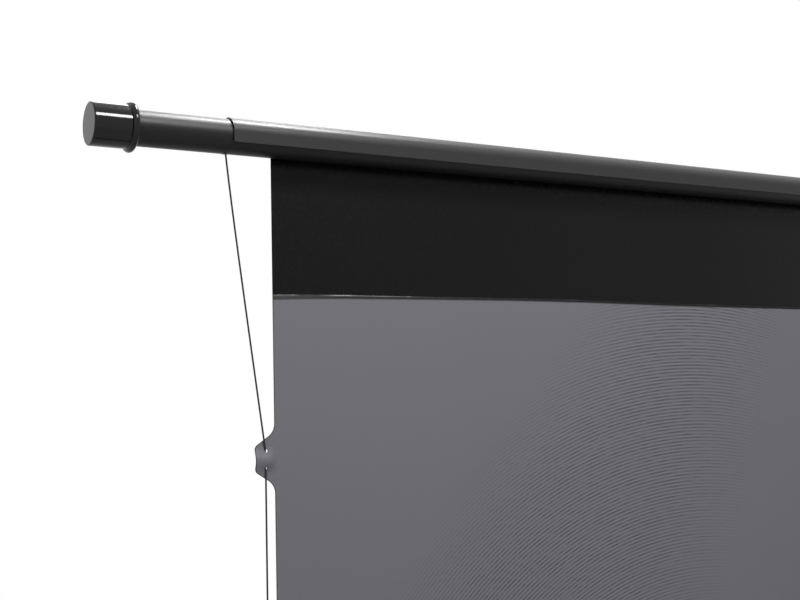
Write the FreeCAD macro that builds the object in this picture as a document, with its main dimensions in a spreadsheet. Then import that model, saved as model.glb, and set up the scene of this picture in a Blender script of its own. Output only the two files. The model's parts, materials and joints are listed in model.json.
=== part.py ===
import FreeCAD, Part
import math
import os
import re
import Sketcher

# Tab-tensioned floor screen: a case with a sprung roller, a top bar that is pulled up,
# and a geared folding support behind the fabric. Millimetres, floor at zero height,
# X along the bar, front towards -Y, top bar's tube on the plane Y = 0.

SIZES = {
    # picture surface
    "picture_width": 1771.0,
    "picture_height": 996.0,
    "top_drop": 118.0,
    "bottom_drop": 80.0,
    "fabric_thickness": 0.4,
    "fabric_gap": 0.15,
    "seam_height": 4.4,
    "seam_proud": 0.35,
    # tension tabs on the picture's side edges
    "tab_reach": 18.7,
    "tab_outer_half": 11.5,
    "tab_root_half": 24.5,
    "tab_root_round": 13.0,
    "tab_tip_round": 5.5,
    "tab_overlap": 3.0,
    "tab_end_margin": 140.8,
    "tab_hole_radius": 2.7,
    "tab_hole_spacing": 13.0,
    "cord_line_reach": 9.0,
    # tension cord and its sprung end in the tube
    "cord_radius": 0.8,
    "cord_clearance": 0.2,
    "cord_swing": 4.0,
    "cord_hole_radius": 3.0,
    "cord_hole_offset": 2.4,
    "grommet_flange_radius": 4.6,
    "grommet_flange": 2.0,
    "grommet_step": 1.0,
    "grommet_room": 0.6,
    "ferrule_radius": 3.6,
    "ferrule_length": 6.0,
    "ferrule_collar": 1.5,
    "tension_spring_radius": 4.2,
    "tension_spring_wire": 0.8,
    "tension_spring_length": 9.0,
    # top bar
    "tube_radius": 15.0,
    "tube_wall": 1.5,
    "tube_overhang": 162.5,
    "rail_wall": 1.1,
    "rail_gap": 0.7,
    "rail_top_gap": 0.1,
    "rail_leg": 7.2,
    "rail_shoulder": 2.5,
    "rail_overhang": 47.2,
    "rail_corner": 1.6,
    "cap_length": 36.6,
    "cap_end_wall": 2.5,
    "cap_radius": 17.9,
    "cap_fit": 0.1,
    "cap_edge": 1.2,
    "bead_width": 6.0,
    "bead_height": 2.9,
    # case
    "case_depth": 80.0,
    "case_height": 82.0,
    "case_wall": 2.0,
    "case_overhang": 64.5,
    "case_front_round": 16.0,
    "case_toe_round": 10.0,
    "case_back_round": 6.0,
    "slot_width": 12.0,
    "slot_lip": 9.0,
    "port_radius": 4.2,
    "port_hole": 2.0,
    "port_inset": 3.4,
    "guide_thickness": 2.0,
    "guide_proud": 0.8,
    "guide_tip_round": 0.9,
    "guide_overhang": 30.0,
    "bar_rest_gap": 1.0,
    # case ends
    "end_length": 50.0,
    "end_lip": 2.0,
    "end_wall": 6.0,
    "end_hollow_half": 25.0,
    "end_edge_chamfer": 2.4,
    "cradle_half": 22.0,
    "cradle_rise": 5.0,
    "cradle_clearance": 1.0,
    "cradle_round": 3.0,
    "screw_radius": 2.0,
    "screw_head_radius": 4.0,
    "screw_head": 2.4,
    "screw_head_edge": 1.0,
    "screw_crown_radius": 2.0,
    "screw_bite": 12.0,
    "screw_grip": 5.0,
    # roller
    "roller_radius": 20.0,
    "roller_wall": 1.5,
    "roller_overhang": 24.0,
    "roll_radius": 23.0,
    "roller_height": 44.0,
    "spool_gap": 1.0,
    "spool_width": 17.0,
    "spool_flange": 2.0,
    "spool_flange_radius": 27.0,
    "plug_length": 28.0,
    "plug_flange": 3.0,
    "idle_pin_radius": 5.0,
    "bush_wall": 2.0,
    "run_clearance": 0.06,
    "bracket_thickness": 7.0,
    "bracket_fit": 0.3,
    "shaft_radius": 6.0,
    "shaft_length": 360.0,
    "spring_radius": 13.0,
    "spring_wall": 2.0,
    "spring_gap": 0.5,
    "anchor_length": 18.0,
    # folding support
    "arm_length": 790.0,
    "arm_width": 28.0,
    "arm_thickness": 8.0,
    "arm_groove_width": 12.0,
    "arm_groove_depth": 1.6,
    "arm_groove_margin": 52.0,
    "arm_groove_round": 5.4,
    "elbow_radius": 18.0,
    "gear_module": 2.5,
    "pivot_half": 30.0,
    "gear_backlash": 0.36,
    "pivot_height": 50.0,
    "top_pivot_drop": 20.0,
    "pivot_pin_radius": 6.0,
    "pin_head_radius": 9.0,
    "pin_head": 2.0,
    "clip_thickness": 1.1,
    "washer_radius": 13.0,
    "washer_thickness": 1.5,
    "washer_slack": 0.1,
    "plate_thickness": 3.0,
    "base_plate_half": 82.0,
    "base_plate_margin": 8.0,
    "base_plate_round": 9.0,
    "base_plate_window": 11.0,
    "plate_screw_inset": 14.0,
    "top_plate_half": 78.0,
    "top_plate_round": 16.0,
    "top_plate_skirt": 19.0,
    "plate_bend": 5.0,
    # pull handle on the bar
    "pull_length": 156.0,
    "pull_height": 46.0,
    "pull_width": 24.0,
    "pull_post": 22.0,
    "pull_grip": 16.0,
    "pull_round": 26.0,
    "pull_inner_round": 10.0,
    "pull_edge": 4.5,
    # feet
    "foot_length": 490.0,
    "foot_half_width": 30.0,
    "foot_tip_half": 20.0,
    "foot_thickness": 18.0,
    "foot_tip_thickness": 11.0,
    "foot_boss_half": 36.0,
    "foot_tip_round": 17.0,
    "foot_inset": 215.0,
    "foot_clearance": 0.3,
    "mount_radius": 28.0,
    "mount_thickness": 2.5,
    "foot_bolt_radius": 5.0,
    "foot_bolt_head_radius": 11.0,
    "foot_bolt_head": 5.0,
    "foot_head_room": 0.6,
    "nut_plate_half": 18.0,
    "nut_plate_thickness": 8.0,
    "nut_plate_round": 3.0,
    "pad_radius": 16.0,
    "pad_proud": 5.0,
    "pad_seat": 3.0,
    "pad_edge": 1.5,
    "pad_inset": 24.0,
    # carry handle
    "carry_half": 70.0,
    "carry_drop": 50.0,
    "carry_width": 15.0,
    "carry_grip": 18.0,
    "carry_thickness": 14.0,
    "carry_round": 14.0,
    "carry_inner_round": 8.0,
    "carry_edge": 3.5,
    "carry_eye_round": 6.6,
    "carry_standoff": 10.0,
    "carry_pivot_drop": 22.0,
    "carry_pin_radius": 3.0,
    "carry_side_gap": 0.5,
    "ear_width": 13.0,
    "ear_half": 15.0,
    "ear_round": 6.0,
    # every cut runs past its piece by this much
    "overrun": 2.0,
}
TAB_COUNT = 4
TOOTH_COUNT = 7
PRESSURE_ANGLE = "20 deg"
# teeth reach above and below the pitch circle by these shares of the module
ADDENDUM_SHARE = 0.92
DEDENDUM_SHARE = 1.25
# tooth pitches from the line of centres to the first tooth, half a pitch apart in a meshing pair
RIGHT_LEAD = 1.5
LEFT_LEAD = 1
# share of the shorter run that a cord's arc takes up
ARC_SHARE = 0.45
RAIL_ROUND_SHARE = 0.8

doc = FreeCAD.newDocument("projection_screen")
sheet = doc.addObject("Spreadsheet::Sheet", "sizes")
for row, (alias, size) in enumerate(SIZES.items(), 1):
    sheet.set(f"A{row}", alias)
    sheet.set(f"B{row}", str(size))
    sheet.setAlias(f"B{row}", alias)
doc.recompute()

ALIAS = re.compile(r"\b(" + "|".join(sorted(SIZES, key=len, reverse=True)) + r")\b")
X_AXIS, Y_AXIS, Z_AXIS = FreeCAD.Vector(1, 0, 0), FreeCAD.Vector(0, 1, 0), FreeCAD.Vector(0, 0, 1)
UPRIGHT = FreeCAD.Rotation()
ALONG_X = FreeCAD.Rotation(Y_AXIS, 90)
AGAINST_X = FreeCAD.Rotation(Y_AXIS, -90)
ALONG_Y = FreeCAD.Rotation(X_AXIS, -90)
AGAINST_Y = FreeCAD.Rotation(X_AXIS, 90)
nodes = []


def bind(text):
    """The expression with each named size read from its cell."""
    return ALIAS.sub(r"sizes.\1", text)


def value(text):
    """The expression's value now, as a plain number."""
    found = sheet.evalExpression(bind(text))
    return float(getattr(found, "Value", found))


def place(piece, x, y, z, turn=UPRIGHT):
    """Put a piece at an expression-bound place."""
    piece.Placement = FreeCAD.Placement(FreeCAD.Vector(value(x), value(y), value(z)), turn)
    for axis, text in zip("xyz", (x, y, z)):
        piece.setExpression(f"Placement.Base.{axis}", bind(text))
    return piece


def keep(piece, name):
    """Name a finished piece, which gives it its file."""
    piece.Label = name
    nodes.append(piece)
    return piece


def origin_feature(body, role):
    return next(item for item in body.Origin.OriginFeatures if item.Role == role)


def tie(sketch, kind, geometry, point, text):
    """Hold one coordinate of a sketch point to an expression."""
    index = sketch.addConstraint(Sketcher.Constraint(kind, -1, 1, geometry, point, value(text)))
    sketch.setExpression(f"Constraints[{index}]", bind(text))


def tie_radius(sketch, geometry, text):
    index = sketch.addConstraint(Sketcher.Constraint("Radius", geometry, value(text)))
    sketch.setExpression(f"Constraints[{index}]", bind(text))


def draw_circle(sketch, x, y, radius):
    centre = FreeCAD.Vector(value(x), value(y), 0)
    index = sketch.addGeometry(Part.Circle(centre, Z_AXIS, value(radius)), False)
    tie(sketch, "DistanceX", index, 3, x)
    tie(sketch, "DistanceY", index, 3, y)
    tie_radius(sketch, index, radius)


def arc_between(start, end, radius, turn):
    """The shorter arc from start to end, turning left for +1 and right for -1."""
    chord = end - start
    middle = (start + end) * 0.5
    side = Z_AXIS.cross(chord)
    side.normalize()
    rise = math.sqrt(max(radius**2 - (chord.Length / 2) ** 2, 0))
    centre = middle + side * (rise * turn)
    first, last = (start, end) if turn > 0 else (end, start)
    low = math.atan2(first.y - centre.y, first.x - centre.x)
    high = math.atan2(last.y - centre.y, last.x - centre.x)
    return Part.ArcOfCircle(Part.Circle(centre, Z_AXIS, radius), low, high)


def draw_path(sketch, corners):
    """A closed outline. A corner is (x, y), or (x, y, radius) when it is rounded,
    or (x, y, radius, turn) when an arc of that radius leads to the next corner."""
    count = len(corners)
    spots = [FreeCAD.Vector(value(c[0]), value(c[1]), 0) for c in corners]
    starts, ends = list(spots), list(spots)
    rounds = {}
    for i, corner in enumerate(corners):
        if len(corner) == 3:
            back = (spots[i - 1] - spots[i]).normalize()
            ahead = (spots[(i + 1) % count] - spots[i]).normalize()
            half = back.getAngle(ahead) / 2
            reach = value(corner[2]) / math.tan(half)
            ends[i] = spots[i] + back * reach
            starts[i] = spots[i] + ahead * reach
            turn = 1 if back.cross(ahead).z < 0 else -1
            rounds[i] = turn
    edges = []
    for i, corner in enumerate(corners):
        start, end = starts[i], ends[(i + 1) % count]
        if len(corner) == 4:
            shape = arc_between(start, end, value(corner[2]), corner[3])
            index = sketch.addGeometry(shape, False)
            tie_radius(sketch, index, corner[2])
            edges.append((index, 1, 2) if corner[3] > 0 else (index, 2, 1))
        else:
            index = sketch.addGeometry(Part.LineSegment(start, end), False)
            edges.append((index, 1, 2))
    for i, corner in enumerate(corners):
        before, after = edges[i - 1], edges[i]
        if i in rounds:
            shape = arc_between(ends[i], starts[i], value(corner[2]), rounds[i])
            index = sketch.addGeometry(shape, False)
            first, last = (1, 2) if rounds[i] > 0 else (2, 1)
            sketch.addConstraint(Sketcher.Constraint("Tangent", before[0], before[2], index, first))
            sketch.addConstraint(Sketcher.Constraint("Tangent", index, last, after[0], after[1]))
            tie_radius(sketch, index, corner[2])
            spot = sketch.addGeometry(Part.Point(spots[i]), True)
            sketch.addConstraint(Sketcher.Constraint("PointOnObject", spot, 1, before[0]))
            sketch.addConstraint(Sketcher.Constraint("PointOnObject", spot, 1, after[0]))
            tie(sketch, "DistanceX", spot, 1, corner[0])
            tie(sketch, "DistanceY", spot, 1, corner[1])
        else:
            sketch.addConstraint(
                Sketcher.Constraint("Coincident", before[0], before[2], after[0], after[1])
            )
            tie(sketch, "DistanceX", after[0], after[1], corner[0])
            tie(sketch, "DistanceY", after[0], after[1], corner[1])


def sketch_on(body, plane, paths=(), circles=(), lift="0"):
    """A sketch on one of the body's own planes, moved along the plane's normal by lift."""
    sketch = body.newObject("Sketcher::SketchObject", "outline")
    sketch.AttachmentSupport = [(origin_feature(body, plane), "")]
    sketch.MapMode = "FlatFace"
    sketch.AttachmentOffset = FreeCAD.Placement(FreeCAD.Vector(0, 0, value(lift)), UPRIGHT)
    sketch.setExpression("AttachmentOffset.Base.z", bind(lift))
    for path in paths:
        draw_path(sketch, path)
    for circle in circles:
        draw_circle(sketch, *circle)
    return sketch


def pad(body, sketch, length, reverse=False, symmetric=False):
    feature = body.newObject("PartDesign::Pad", "pad")
    feature.Profile = sketch
    feature.setExpression("Length", bind(length))
    feature.Reversed = reverse
    feature.SideType = "Symmetric" if symmetric else "One side"
    return feature


def pocket(body, sketch, depth, reverse=False, symmetric=False):
    feature = body.newObject("PartDesign::Pocket", "pocket")
    feature.Profile = sketch
    feature.setExpression("Length", bind(depth))
    feature.Reversed = reverse
    feature.SideType = "Symmetric" if symmetric else "One side"
    return feature


def soften(body, base, radius, wanted, kind="PartDesign::Fillet"):
    """Round or chamfer the base feature's edges that the wanted test picks."""
    doc.recompute()
    names = [
        f"Edge{i}" for i, edge in enumerate(base.Shape.Edges, 1) if wanted(edge, edge.BoundBox)
    ]
    feature = body.newObject(kind, "softened")
    feature.Base = (base, names)
    feature.setExpression("Radius" if kind.endswith("Fillet") else "Size", bind(radius))
    return feature


def near(first, second):
    return abs(first - second) < 1e-4


def new_body(name):
    return doc.addObject("PartDesign::Body", name)


def turned(name, profile):
    """A body of revolution about its own Z axis, from corners (radius, height)."""
    body = new_body(name)
    sketch = sketch_on(body, "XZ_Plane", [profile])
    feature = body.newObject("PartDesign::Revolution", "turned")
    feature.Profile = sketch
    feature.ReferenceAxis = (sketch, ["V_Axis"])
    feature.Angle = 360
    return body


def ring(name, outer, inner, length):
    body = new_body(name)
    sketch = sketch_on(body, "XY_Plane", circles=[("0", "0", outer), ("0", "0", inner)])
    pad(body, sketch, length)
    return body


def group(name, pieces):
    """Several like solids that share one file."""
    set_of = doc.addObject("Part::Compound", name)
    set_of.Links = pieces
    return keep(set_of, name)


def rectangle(left, low, right, high, radius=None):
    corners = [(left, low), (right, low), (right, high), (left, high)]
    return [(x, y, radius) for x, y in corners] if radius else corners


# Heights and planes that the pieces share.
HALF_WIDTH = "picture_width / 2"
CASE_BOTTOM = "(pad_proud + foot_thickness + foot_clearance + mount_thickness)"
CASE_TOP = f"({CASE_BOTTOM} + case_height)"
PICTURE_LOW = f"({CASE_TOP} + bottom_drop)"
PICTURE_HIGH = f"({PICTURE_LOW} + picture_height)"
BAR_HEIGHT = f"({PICTURE_HIGH} + top_drop + tube_radius)"
BAR_LOWERED = f"({CASE_TOP} + bar_rest_gap + tube_radius)"
FABRIC_PLANE = "(tube_radius + fabric_gap + fabric_thickness / 2)"
ROLLER_PLANE = f"({FABRIC_PLANE} - fabric_thickness / 2 - fabric_gap - roll_radius)"
ROLLER_HEIGHT = f"({CASE_BOTTOM} + roller_height)"
CASE_END = f"({HALF_WIDTH} + case_overhang)"
TUBE_END = f"({HALF_WIDTH} + tube_overhang)"
RAIL_END = f"({HALF_WIDTH} + rail_overhang)"
CORD_HOLE = f"({RAIL_END} + cord_hole_offset)"
RAIL_INNER = "(tube_radius + rail_gap)"
RAIL_OUTER = f"({RAIL_INNER} + rail_wall)"
RAIL_TOP = "(tube_radius + rail_top_gap + rail_wall)"
RAIL_RISE = f"({RAIL_TOP} - rail_shoulder)"
RAIL_ROUND = f"({RAIL_ROUND_SHARE} * {RAIL_RISE})"
RAIL_SIDE = f"({RAIL_OUTER} - {RAIL_ROUND})"
RAIL_ARCH = f"(({RAIL_SIDE}^2 + {RAIL_RISE}^2 - {RAIL_ROUND}^2) / (2 * ({RAIL_RISE} - {RAIL_ROUND})))"
BACK = "(case_depth / 2)"
LOWER_LAYER = f"({BACK} + plate_thickness + washer_thickness)"
UPPER_LAYER = f"({LOWER_LAYER} + arm_thickness + washer_thickness)"
TOP_PLATE = f"({UPPER_LAYER} + arm_thickness + washer_thickness)"
TOP_PIVOT = f"({BAR_HEIGHT} - top_pivot_drop)"
RAISED = f"asin(({TOP_PIVOT} - pivot_height) / (2 * arm_length))"
LOWERED = f"asin(({BAR_LOWERED} - top_pivot_drop - pivot_height) / (2 * arm_length))"
CORD_LINE = f"({HALF_WIDTH} + cord_line_reach)"
CORD_STEP = "(fabric_thickness / 2 + cord_clearance + cord_radius)"
PLATE_LOW = f"({CASE_BOTTOM} + base_plate_margin)"
PLATE_HIGH = f"({CASE_TOP} - base_plate_margin)"
PLATE_SCREWS = [
    (f"{side}(base_plate_half - plate_screw_inset)", z)
    for side in ("-", "")
    for z in (f"({PLATE_LOW} + plate_screw_inset)", f"({PLATE_HIGH} - plate_screw_inset)")
]
raised_angle = value(RAISED)
lowered_angle = value(LOWERED)


def fabric_band(name, low, high):
    body = new_body(name)
    outline = rectangle(f"-{HALF_WIDTH}", "0", HALF_WIDTH, f"{high} - {low}")
    pad(body, sketch_on(body, "XZ_Plane", [outline]), "fabric_thickness", symmetric=True)
    place(body, "0", FABRIC_PLANE, low)
    return body


def make_fabric():
    keep(fabric_band("black_top_drop", PICTURE_HIGH, f"({BAR_HEIGHT} - fabric_gap)"), "black_top_drop")
    keep(fabric_band("bottom_leader", ROLLER_HEIGHT, PICTURE_LOW), "bottom_leader")
    screen = fabric_band("grey_screen", PICTURE_LOW, PICTURE_HIGH)
    tip = f"({HALF_WIDTH} + tab_reach)"
    root = f"({HALF_WIDTH} - tab_overlap)"
    middle = "tab_end_margin"
    pitch = f"((picture_height - 2 * tab_end_margin) / {TAB_COUNT - 1})"
    edge_high = f"({middle} + tab_root_half + tab_root_round)"
    edge_low = f"({middle} - tab_root_half - tab_root_round)"
    holes = [
        (CORD_LINE, f"{middle} + tab_hole_spacing / 2", "tab_hole_radius"),
        (CORD_LINE, f"{middle} - tab_hole_spacing / 2", "tab_hole_radius"),
    ]
    tab = [
        (root, edge_low),
        (HALF_WIDTH, edge_low),
        (HALF_WIDTH, f"{middle} - tab_root_half", "tab_root_round"),
        (tip, f"{middle} - tab_outer_half", "tab_tip_round"),
        (tip, f"{middle} + tab_outer_half", "tab_tip_round"),
        (HALF_WIDTH, f"{middle} + tab_root_half", "tab_root_round"),
        (HALF_WIDTH, edge_high),
        (root, edge_high),
    ]
    right = pad(
        screen, sketch_on(screen, "XZ_Plane", [tab], holes), "fabric_thickness", symmetric=True
    )
    column = screen.newObject("PartDesign::LinearPattern", "tab_column")
    column.Originals = [right]
    column.Direction = (origin_feature(screen, "Z_Axis"), [""])
    column.setExpression("Length", bind(f"{pitch} * {TAB_COUNT - 1}"))
    column.Occurrences = TAB_COUNT
    screen.Tip = column
    mirrored = [(f"-{c[0]}", *c[1:]) for c in reversed(tab)]
    left = pad(
        screen,
        sketch_on(screen, "XZ_Plane", [mirrored], [(f"-{x}", y, r) for x, y, r in holes]),
        "fabric_thickness",
        symmetric=True,
    )
    column = screen.newObject("PartDesign::LinearPattern", "tab_column")
    column.Originals = [left]
    column.Direction = (origin_feature(screen, "Z_Axis"), [""])
    column.setExpression("Length", bind(f"{pitch} * {TAB_COUNT - 1}"))
    column.Occurrences = TAB_COUNT
    screen.Tip = column
    keep(screen, "grey_screen")
    for name, height in (("top_weld_seam", PICTURE_HIGH), ("bottom_weld_seam", PICTURE_LOW)):
        strip = doc.addObject("Part::Box", name)
        strip.setExpression("Length", bind("picture_width"))
        strip.setExpression("Width", bind("seam_proud"))
        strip.setExpression("Height", bind("seam_height"))
        front = f"{FABRIC_PLANE} - fabric_thickness / 2 - seam_proud"
        low = height if name == "top_weld_seam" else f"{height} - seam_height"
        keep(place(strip, f"-{HALF_WIDTH}", front, low), name)


def tangent_path(points):
    """Straight runs joined by arcs, each as large as its two runs allow."""
    edges = []
    last = points[0]
    radii = []
    for before, corner, after in zip(points, points[1:], points[2:]):
        back, ahead = before - corner, after - corner
        turn = math.pi - back.getAngle(ahead)
        reach = ARC_SHARE * min(back.Length, ahead.Length)
        radii.append(reach / math.tan(turn / 2))
        back.normalize()
        ahead.normalize()
        start, end = corner + back * reach, corner + ahead * reach
        inward = (back + ahead).normalize()
        bow = radii[-1] / math.cos(turn / 2) - radii[-1]
        edges.append(Part.LineSegment(last, start).toShape())
        edges.append(Part.Arc(start, corner + inward * bow, end).toShape())
        last = end
    edges.append(Part.LineSegment(last, points[-1]).toShape())
    return Part.Wire(edges), radii


def cord_route(side):
    """Down from the tube, then in and out of each tab's two holes, to the spool."""
    line = value(CORD_LINE) * side
    fabric = value(FABRIC_PLANE)
    step = value(CORD_STEP)
    front, behind = fabric - step, fabric + step
    swing = value("cord_swing") / 2
    hole = value("tab_hole_spacing") / 2
    first_tab = value(f"{PICTURE_HIGH} - tab_end_margin")
    pitch = value(f"(picture_height - 2 * tab_end_margin) / {TAB_COUNT - 1}")
    top = value(f"{BAR_HEIGHT} - tube_radius + tube_wall + grommet_flange + tension_spring_length")
    exit_point = FreeCAD.Vector(value(CORD_HOLE) * side, 0, value(f"{BAR_HEIGHT} - tube_radius"))
    points = [FreeCAD.Vector(exit_point.x, 0, top + value("ferrule_length / 2")), exit_point]
    for number in range(TAB_COUNT):
        centre = first_tab - number * pitch
        upper, lower = centre + hole, centre - hole
        points.append(FreeCAD.Vector(line, front, upper + swing))
        points.append(FreeCAD.Vector(line, behind, upper - swing))
        points.append(FreeCAD.Vector(line, behind, lower + swing))
        points.append(FreeCAD.Vector(line, front, lower - swing))
    points.append(FreeCAD.Vector(line, front, value(ROLLER_HEIGHT)))
    return points


def make_cords():
    for side, name in ((-1, "tension_cord_left"), (1, "tension_cord_right")):
        spine, radii = tangent_path(cord_route(side))
        radius = value("cord_radius")
        start = spine.OrderedVertexes[0].Point
        section = Part.Wire([Part.Circle(start, Z_AXIS, radius).toShape()])
        tube = spine.makePipeShell([section], True, True)
        cord = doc.addObject("Part::Feature", name)
        cord.Shape = tube
        keep(cord, name)
        print(name, "least radius", round(min(radii), 1), "length", round(spine.Length, 1))
        print(name, "volume over section times length", tube.Volume / (math.pi * radius**2 * spine.Length))


def rail_haunch(radius):
    """Where the rail's side round runs into its flatter arch, at a radius about the round's centre."""
    lean = f"({radius} / ({RAIL_ARCH} - {RAIL_ROUND}))"
    side = f"({RAIL_SIDE} + {RAIL_SIDE} * {lean})"
    rise = f"(rail_shoulder + ({RAIL_ARCH} - {RAIL_RISE}) * {lean})"
    return side, rise


def make_top_bar():
    tube = new_body("top_tube")
    circles = [("0", "0", "tube_radius"), ("0", "0", "tube_radius - tube_wall")]
    pad(tube, sketch_on(tube, "YZ_Plane", circles=circles), f"2 * {TUBE_END}", symmetric=True)
    holes = [(CORD_HOLE, "0", "cord_hole_radius"), (f"-{CORD_HOLE}", "0", "cord_hole_radius")]
    pocket(tube, sketch_on(tube, "XY_Plane", circles=holes), "tube_radius + overrun")
    keep(place(tube, "0", "0", BAR_HEIGHT), "top_tube")

    rail = new_body("clamp_rail")
    inner_side, inner_rise = rail_haunch(f"({RAIL_ROUND} - rail_wall)")
    outer_side, outer_rise = rail_haunch(RAIL_ROUND)
    profile = [
        (f"-{RAIL_OUTER}", "-rail_leg"),
        (f"-{RAIL_INNER}", "-rail_leg"),
        (f"-{RAIL_INNER}", "rail_shoulder", f"{RAIL_ROUND} - rail_wall", -1),
        (f"-{inner_side}", inner_rise, f"{RAIL_ARCH} - rail_wall", -1),
        (inner_side, inner_rise, f"{RAIL_ROUND} - rail_wall", -1),
        (RAIL_INNER, "rail_shoulder"),
        (RAIL_INNER, "-rail_leg"),
        (RAIL_OUTER, "-rail_leg"),
        (RAIL_OUTER, "rail_shoulder", RAIL_ROUND, 1),
        (outer_side, outer_rise, RAIL_ARCH, 1),
        (f"-{outer_side}", outer_rise, RAIL_ROUND, 1),
        (f"-{RAIL_OUTER}", "rail_shoulder"),
    ]
    length = pad(rail, sketch_on(rail, "YZ_Plane", [profile]), f"2 * {RAIL_END}", symmetric=True)
    low = value("-rail_leg")
    end = value(RAIL_END)
    soften(
        rail,
        length,
        "rail_corner",
        lambda edge, box: near(box.ZMax, low) and near(abs(box.XMin), end) and near(box.XLength, 0),
    )
    keep(place(rail, "0", "0", BAR_HEIGHT), "clamp_rail")

    bead_arc = "((bead_width^2 / 4 + bead_height^2) / (2 * bead_height))"
    bore = "(tube_radius + cap_fit)"
    cap_profile = [
        (bore, "0"),
        ("cap_radius", "0", bead_arc, 1),
        ("cap_radius", "bead_width"),
        ("cap_radius", "cap_length - cap_edge", "cap_edge", 1),
        ("cap_radius - cap_edge", "cap_length"),
        ("0", "cap_length"),
        ("0", "cap_length - cap_end_wall"),
        (bore, "cap_length - cap_end_wall"),
    ]
    inner_end = f"({TUBE_END} + cap_end_wall - cap_length)"
    for side, turn, name in (("-", AGAINST_X, "left"), ("", ALONG_X, "right")):
        cap = turned(f"bar_end_cap_{name}", cap_profile)
        keep(place(cap, f"{side}{inner_end}", "0", BAR_HEIGHT, turn), f"bar_end_cap_{name}")


def make_cord_ends():
    """A grommet in the tube's underside, and a spring that a crimped ferrule rests on."""
    bore = "(cord_radius + cord_clearance)"
    guide = "(cord_radius + grommet_room)"
    floor = f"({BAR_HEIGHT} - tube_radius + tube_wall)"
    neck = "(cord_hole_radius - run_clearance)"
    grommet_profile = [
        (guide, "-tube_wall"),
        (neck, "-tube_wall"),
        (neck, "grommet_step"),
        ("grommet_flange_radius", "grommet_step"),
        ("grommet_flange_radius", "grommet_flange"),
        (guide, "grommet_flange"),
    ]
    ferrule_profile = [
        (bore, "0"),
        ("tension_spring_radius", "0"),
        ("tension_spring_radius", "ferrule_collar"),
        ("ferrule_radius", "ferrule_collar"),
        ("ferrule_radius", "ferrule_length"),
        (bore, "ferrule_length"),
    ]
    coil_bore = "tension_spring_radius - tension_spring_wire"
    coil_floor = f"{floor} + grommet_flange"
    grommets, springs, ferrules = [], [], []
    for side in ("-", ""):
        x = f"{side}{CORD_HOLE}"
        grommets.append(place(turned("grommet", grommet_profile), x, "0", floor))
        spring = ring("cord_spring", "tension_spring_radius", coil_bore, "tension_spring_length")
        springs.append(place(spring, x, "0", coil_floor))
        ferrule = turned("ferrule", ferrule_profile)
        ferrules.append(place(ferrule, x, "0", f"{coil_floor} + tension_spring_length"))
    group("cord_grommets", grommets)
    group("cord_springs", springs)
    group("cord_ferrules", ferrules)


def case_outline(inset):
    """The case's section, drawn from its floor, inset evenly all round."""
    half = f"({BACK} - {inset})"
    low, high = f"{inset}", f"(case_height - {inset})"
    return [
        (f"-{half}", low, f"case_toe_round - {inset}"),
        (half, low, f"case_back_round - {inset}"),
        (half, high, f"case_back_round - {inset}"),
        (f"-{half}", high, f"case_front_round - {inset}"),
    ]


PORTS = [
    (f"-({BACK} - case_wall - port_inset)", "case_wall + port_inset"),
    (f"({BACK} - case_wall - port_inset)", "case_wall + port_inset"),
    (f"({BACK} - case_wall - port_inset)", "case_height - case_wall - port_inset"),
]


def make_case():
    shell = new_body("case_shell")
    pad(shell, sketch_on(shell, "YZ_Plane", [case_outline("0")]), f"2 * {CASE_END}", symmetric=True)
    hollow = sketch_on(shell, "YZ_Plane", [case_outline("case_wall")])
    pocket(shell, hollow, f"2 * {CASE_END} + overrun", symmetric=True)
    ports = sketch_on(shell, "YZ_Plane", circles=[(y, z, "port_radius") for y, z in PORTS])
    pad(shell, ports, f"2 * {CASE_END}", symmetric=True)
    bores = sketch_on(shell, "YZ_Plane", circles=[(y, z, "port_hole") for y, z in PORTS])
    pocket(shell, bores, f"2 * {CASE_END} + overrun", symmetric=True)
    slot_front = f"{FABRIC_PLANE} - slot_width / 2"
    slot_back = f"{FABRIC_PLANE} + slot_width / 2"
    lips = rectangle(
        f"{slot_front} - case_wall", "case_height - slot_lip", f"{slot_back} + case_wall", "case_height"
    )
    pad(shell, sketch_on(shell, "YZ_Plane", [lips]), f"2 * {CASE_END}", symmetric=True)
    slot = rectangle(slot_front, "case_height - slot_lip - overrun", slot_back, "case_height + overrun")
    pocket(shell, sketch_on(shell, "YZ_Plane", [slot]), f"2 * {CASE_END} + overrun", symmetric=True)
    foot_x = f"({CASE_END} - foot_inset)"
    bolts = [(foot_x, "0", "foot_bolt_radius"), (f"-{foot_x}", "0", "foot_bolt_radius")]
    pocket(shell, sketch_on(shell, "XY_Plane", circles=bolts), "2 * case_wall", symmetric=True)
    plate_bores = [(x, f"{z} - {CASE_BOTTOM}", "screw_radius") for x, z in PLATE_SCREWS]
    pocket(shell, sketch_on(shell, "XZ_Plane", circles=plate_bores), f"{BACK} + overrun")
    keep(place(shell, "0", "0", CASE_BOTTOM), "case_shell")

    guide_ends = f"({HALF_WIDTH} + guide_overhang)"
    for name, low, high in (
        ("slot_guide_front", slot_front, f"{slot_front} + guide_thickness"),
        ("slot_guide_rear", f"{slot_back} - guide_thickness", slot_back),
    ):
        guide = new_body(name)
        tall = "(slot_lip + guide_proud)"
        tip = "guide_tip_round"
        outline = [(low, "0"), (high, "0"), (high, tall, tip), (low, tall, tip)]
        sketch = sketch_on(guide, "YZ_Plane", [outline])
        pad(guide, sketch, f"2 * {guide_ends}", symmetric=True)
        keep(place(guide, "0", "0", f"{CASE_TOP} - slot_lip"), name)


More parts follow.
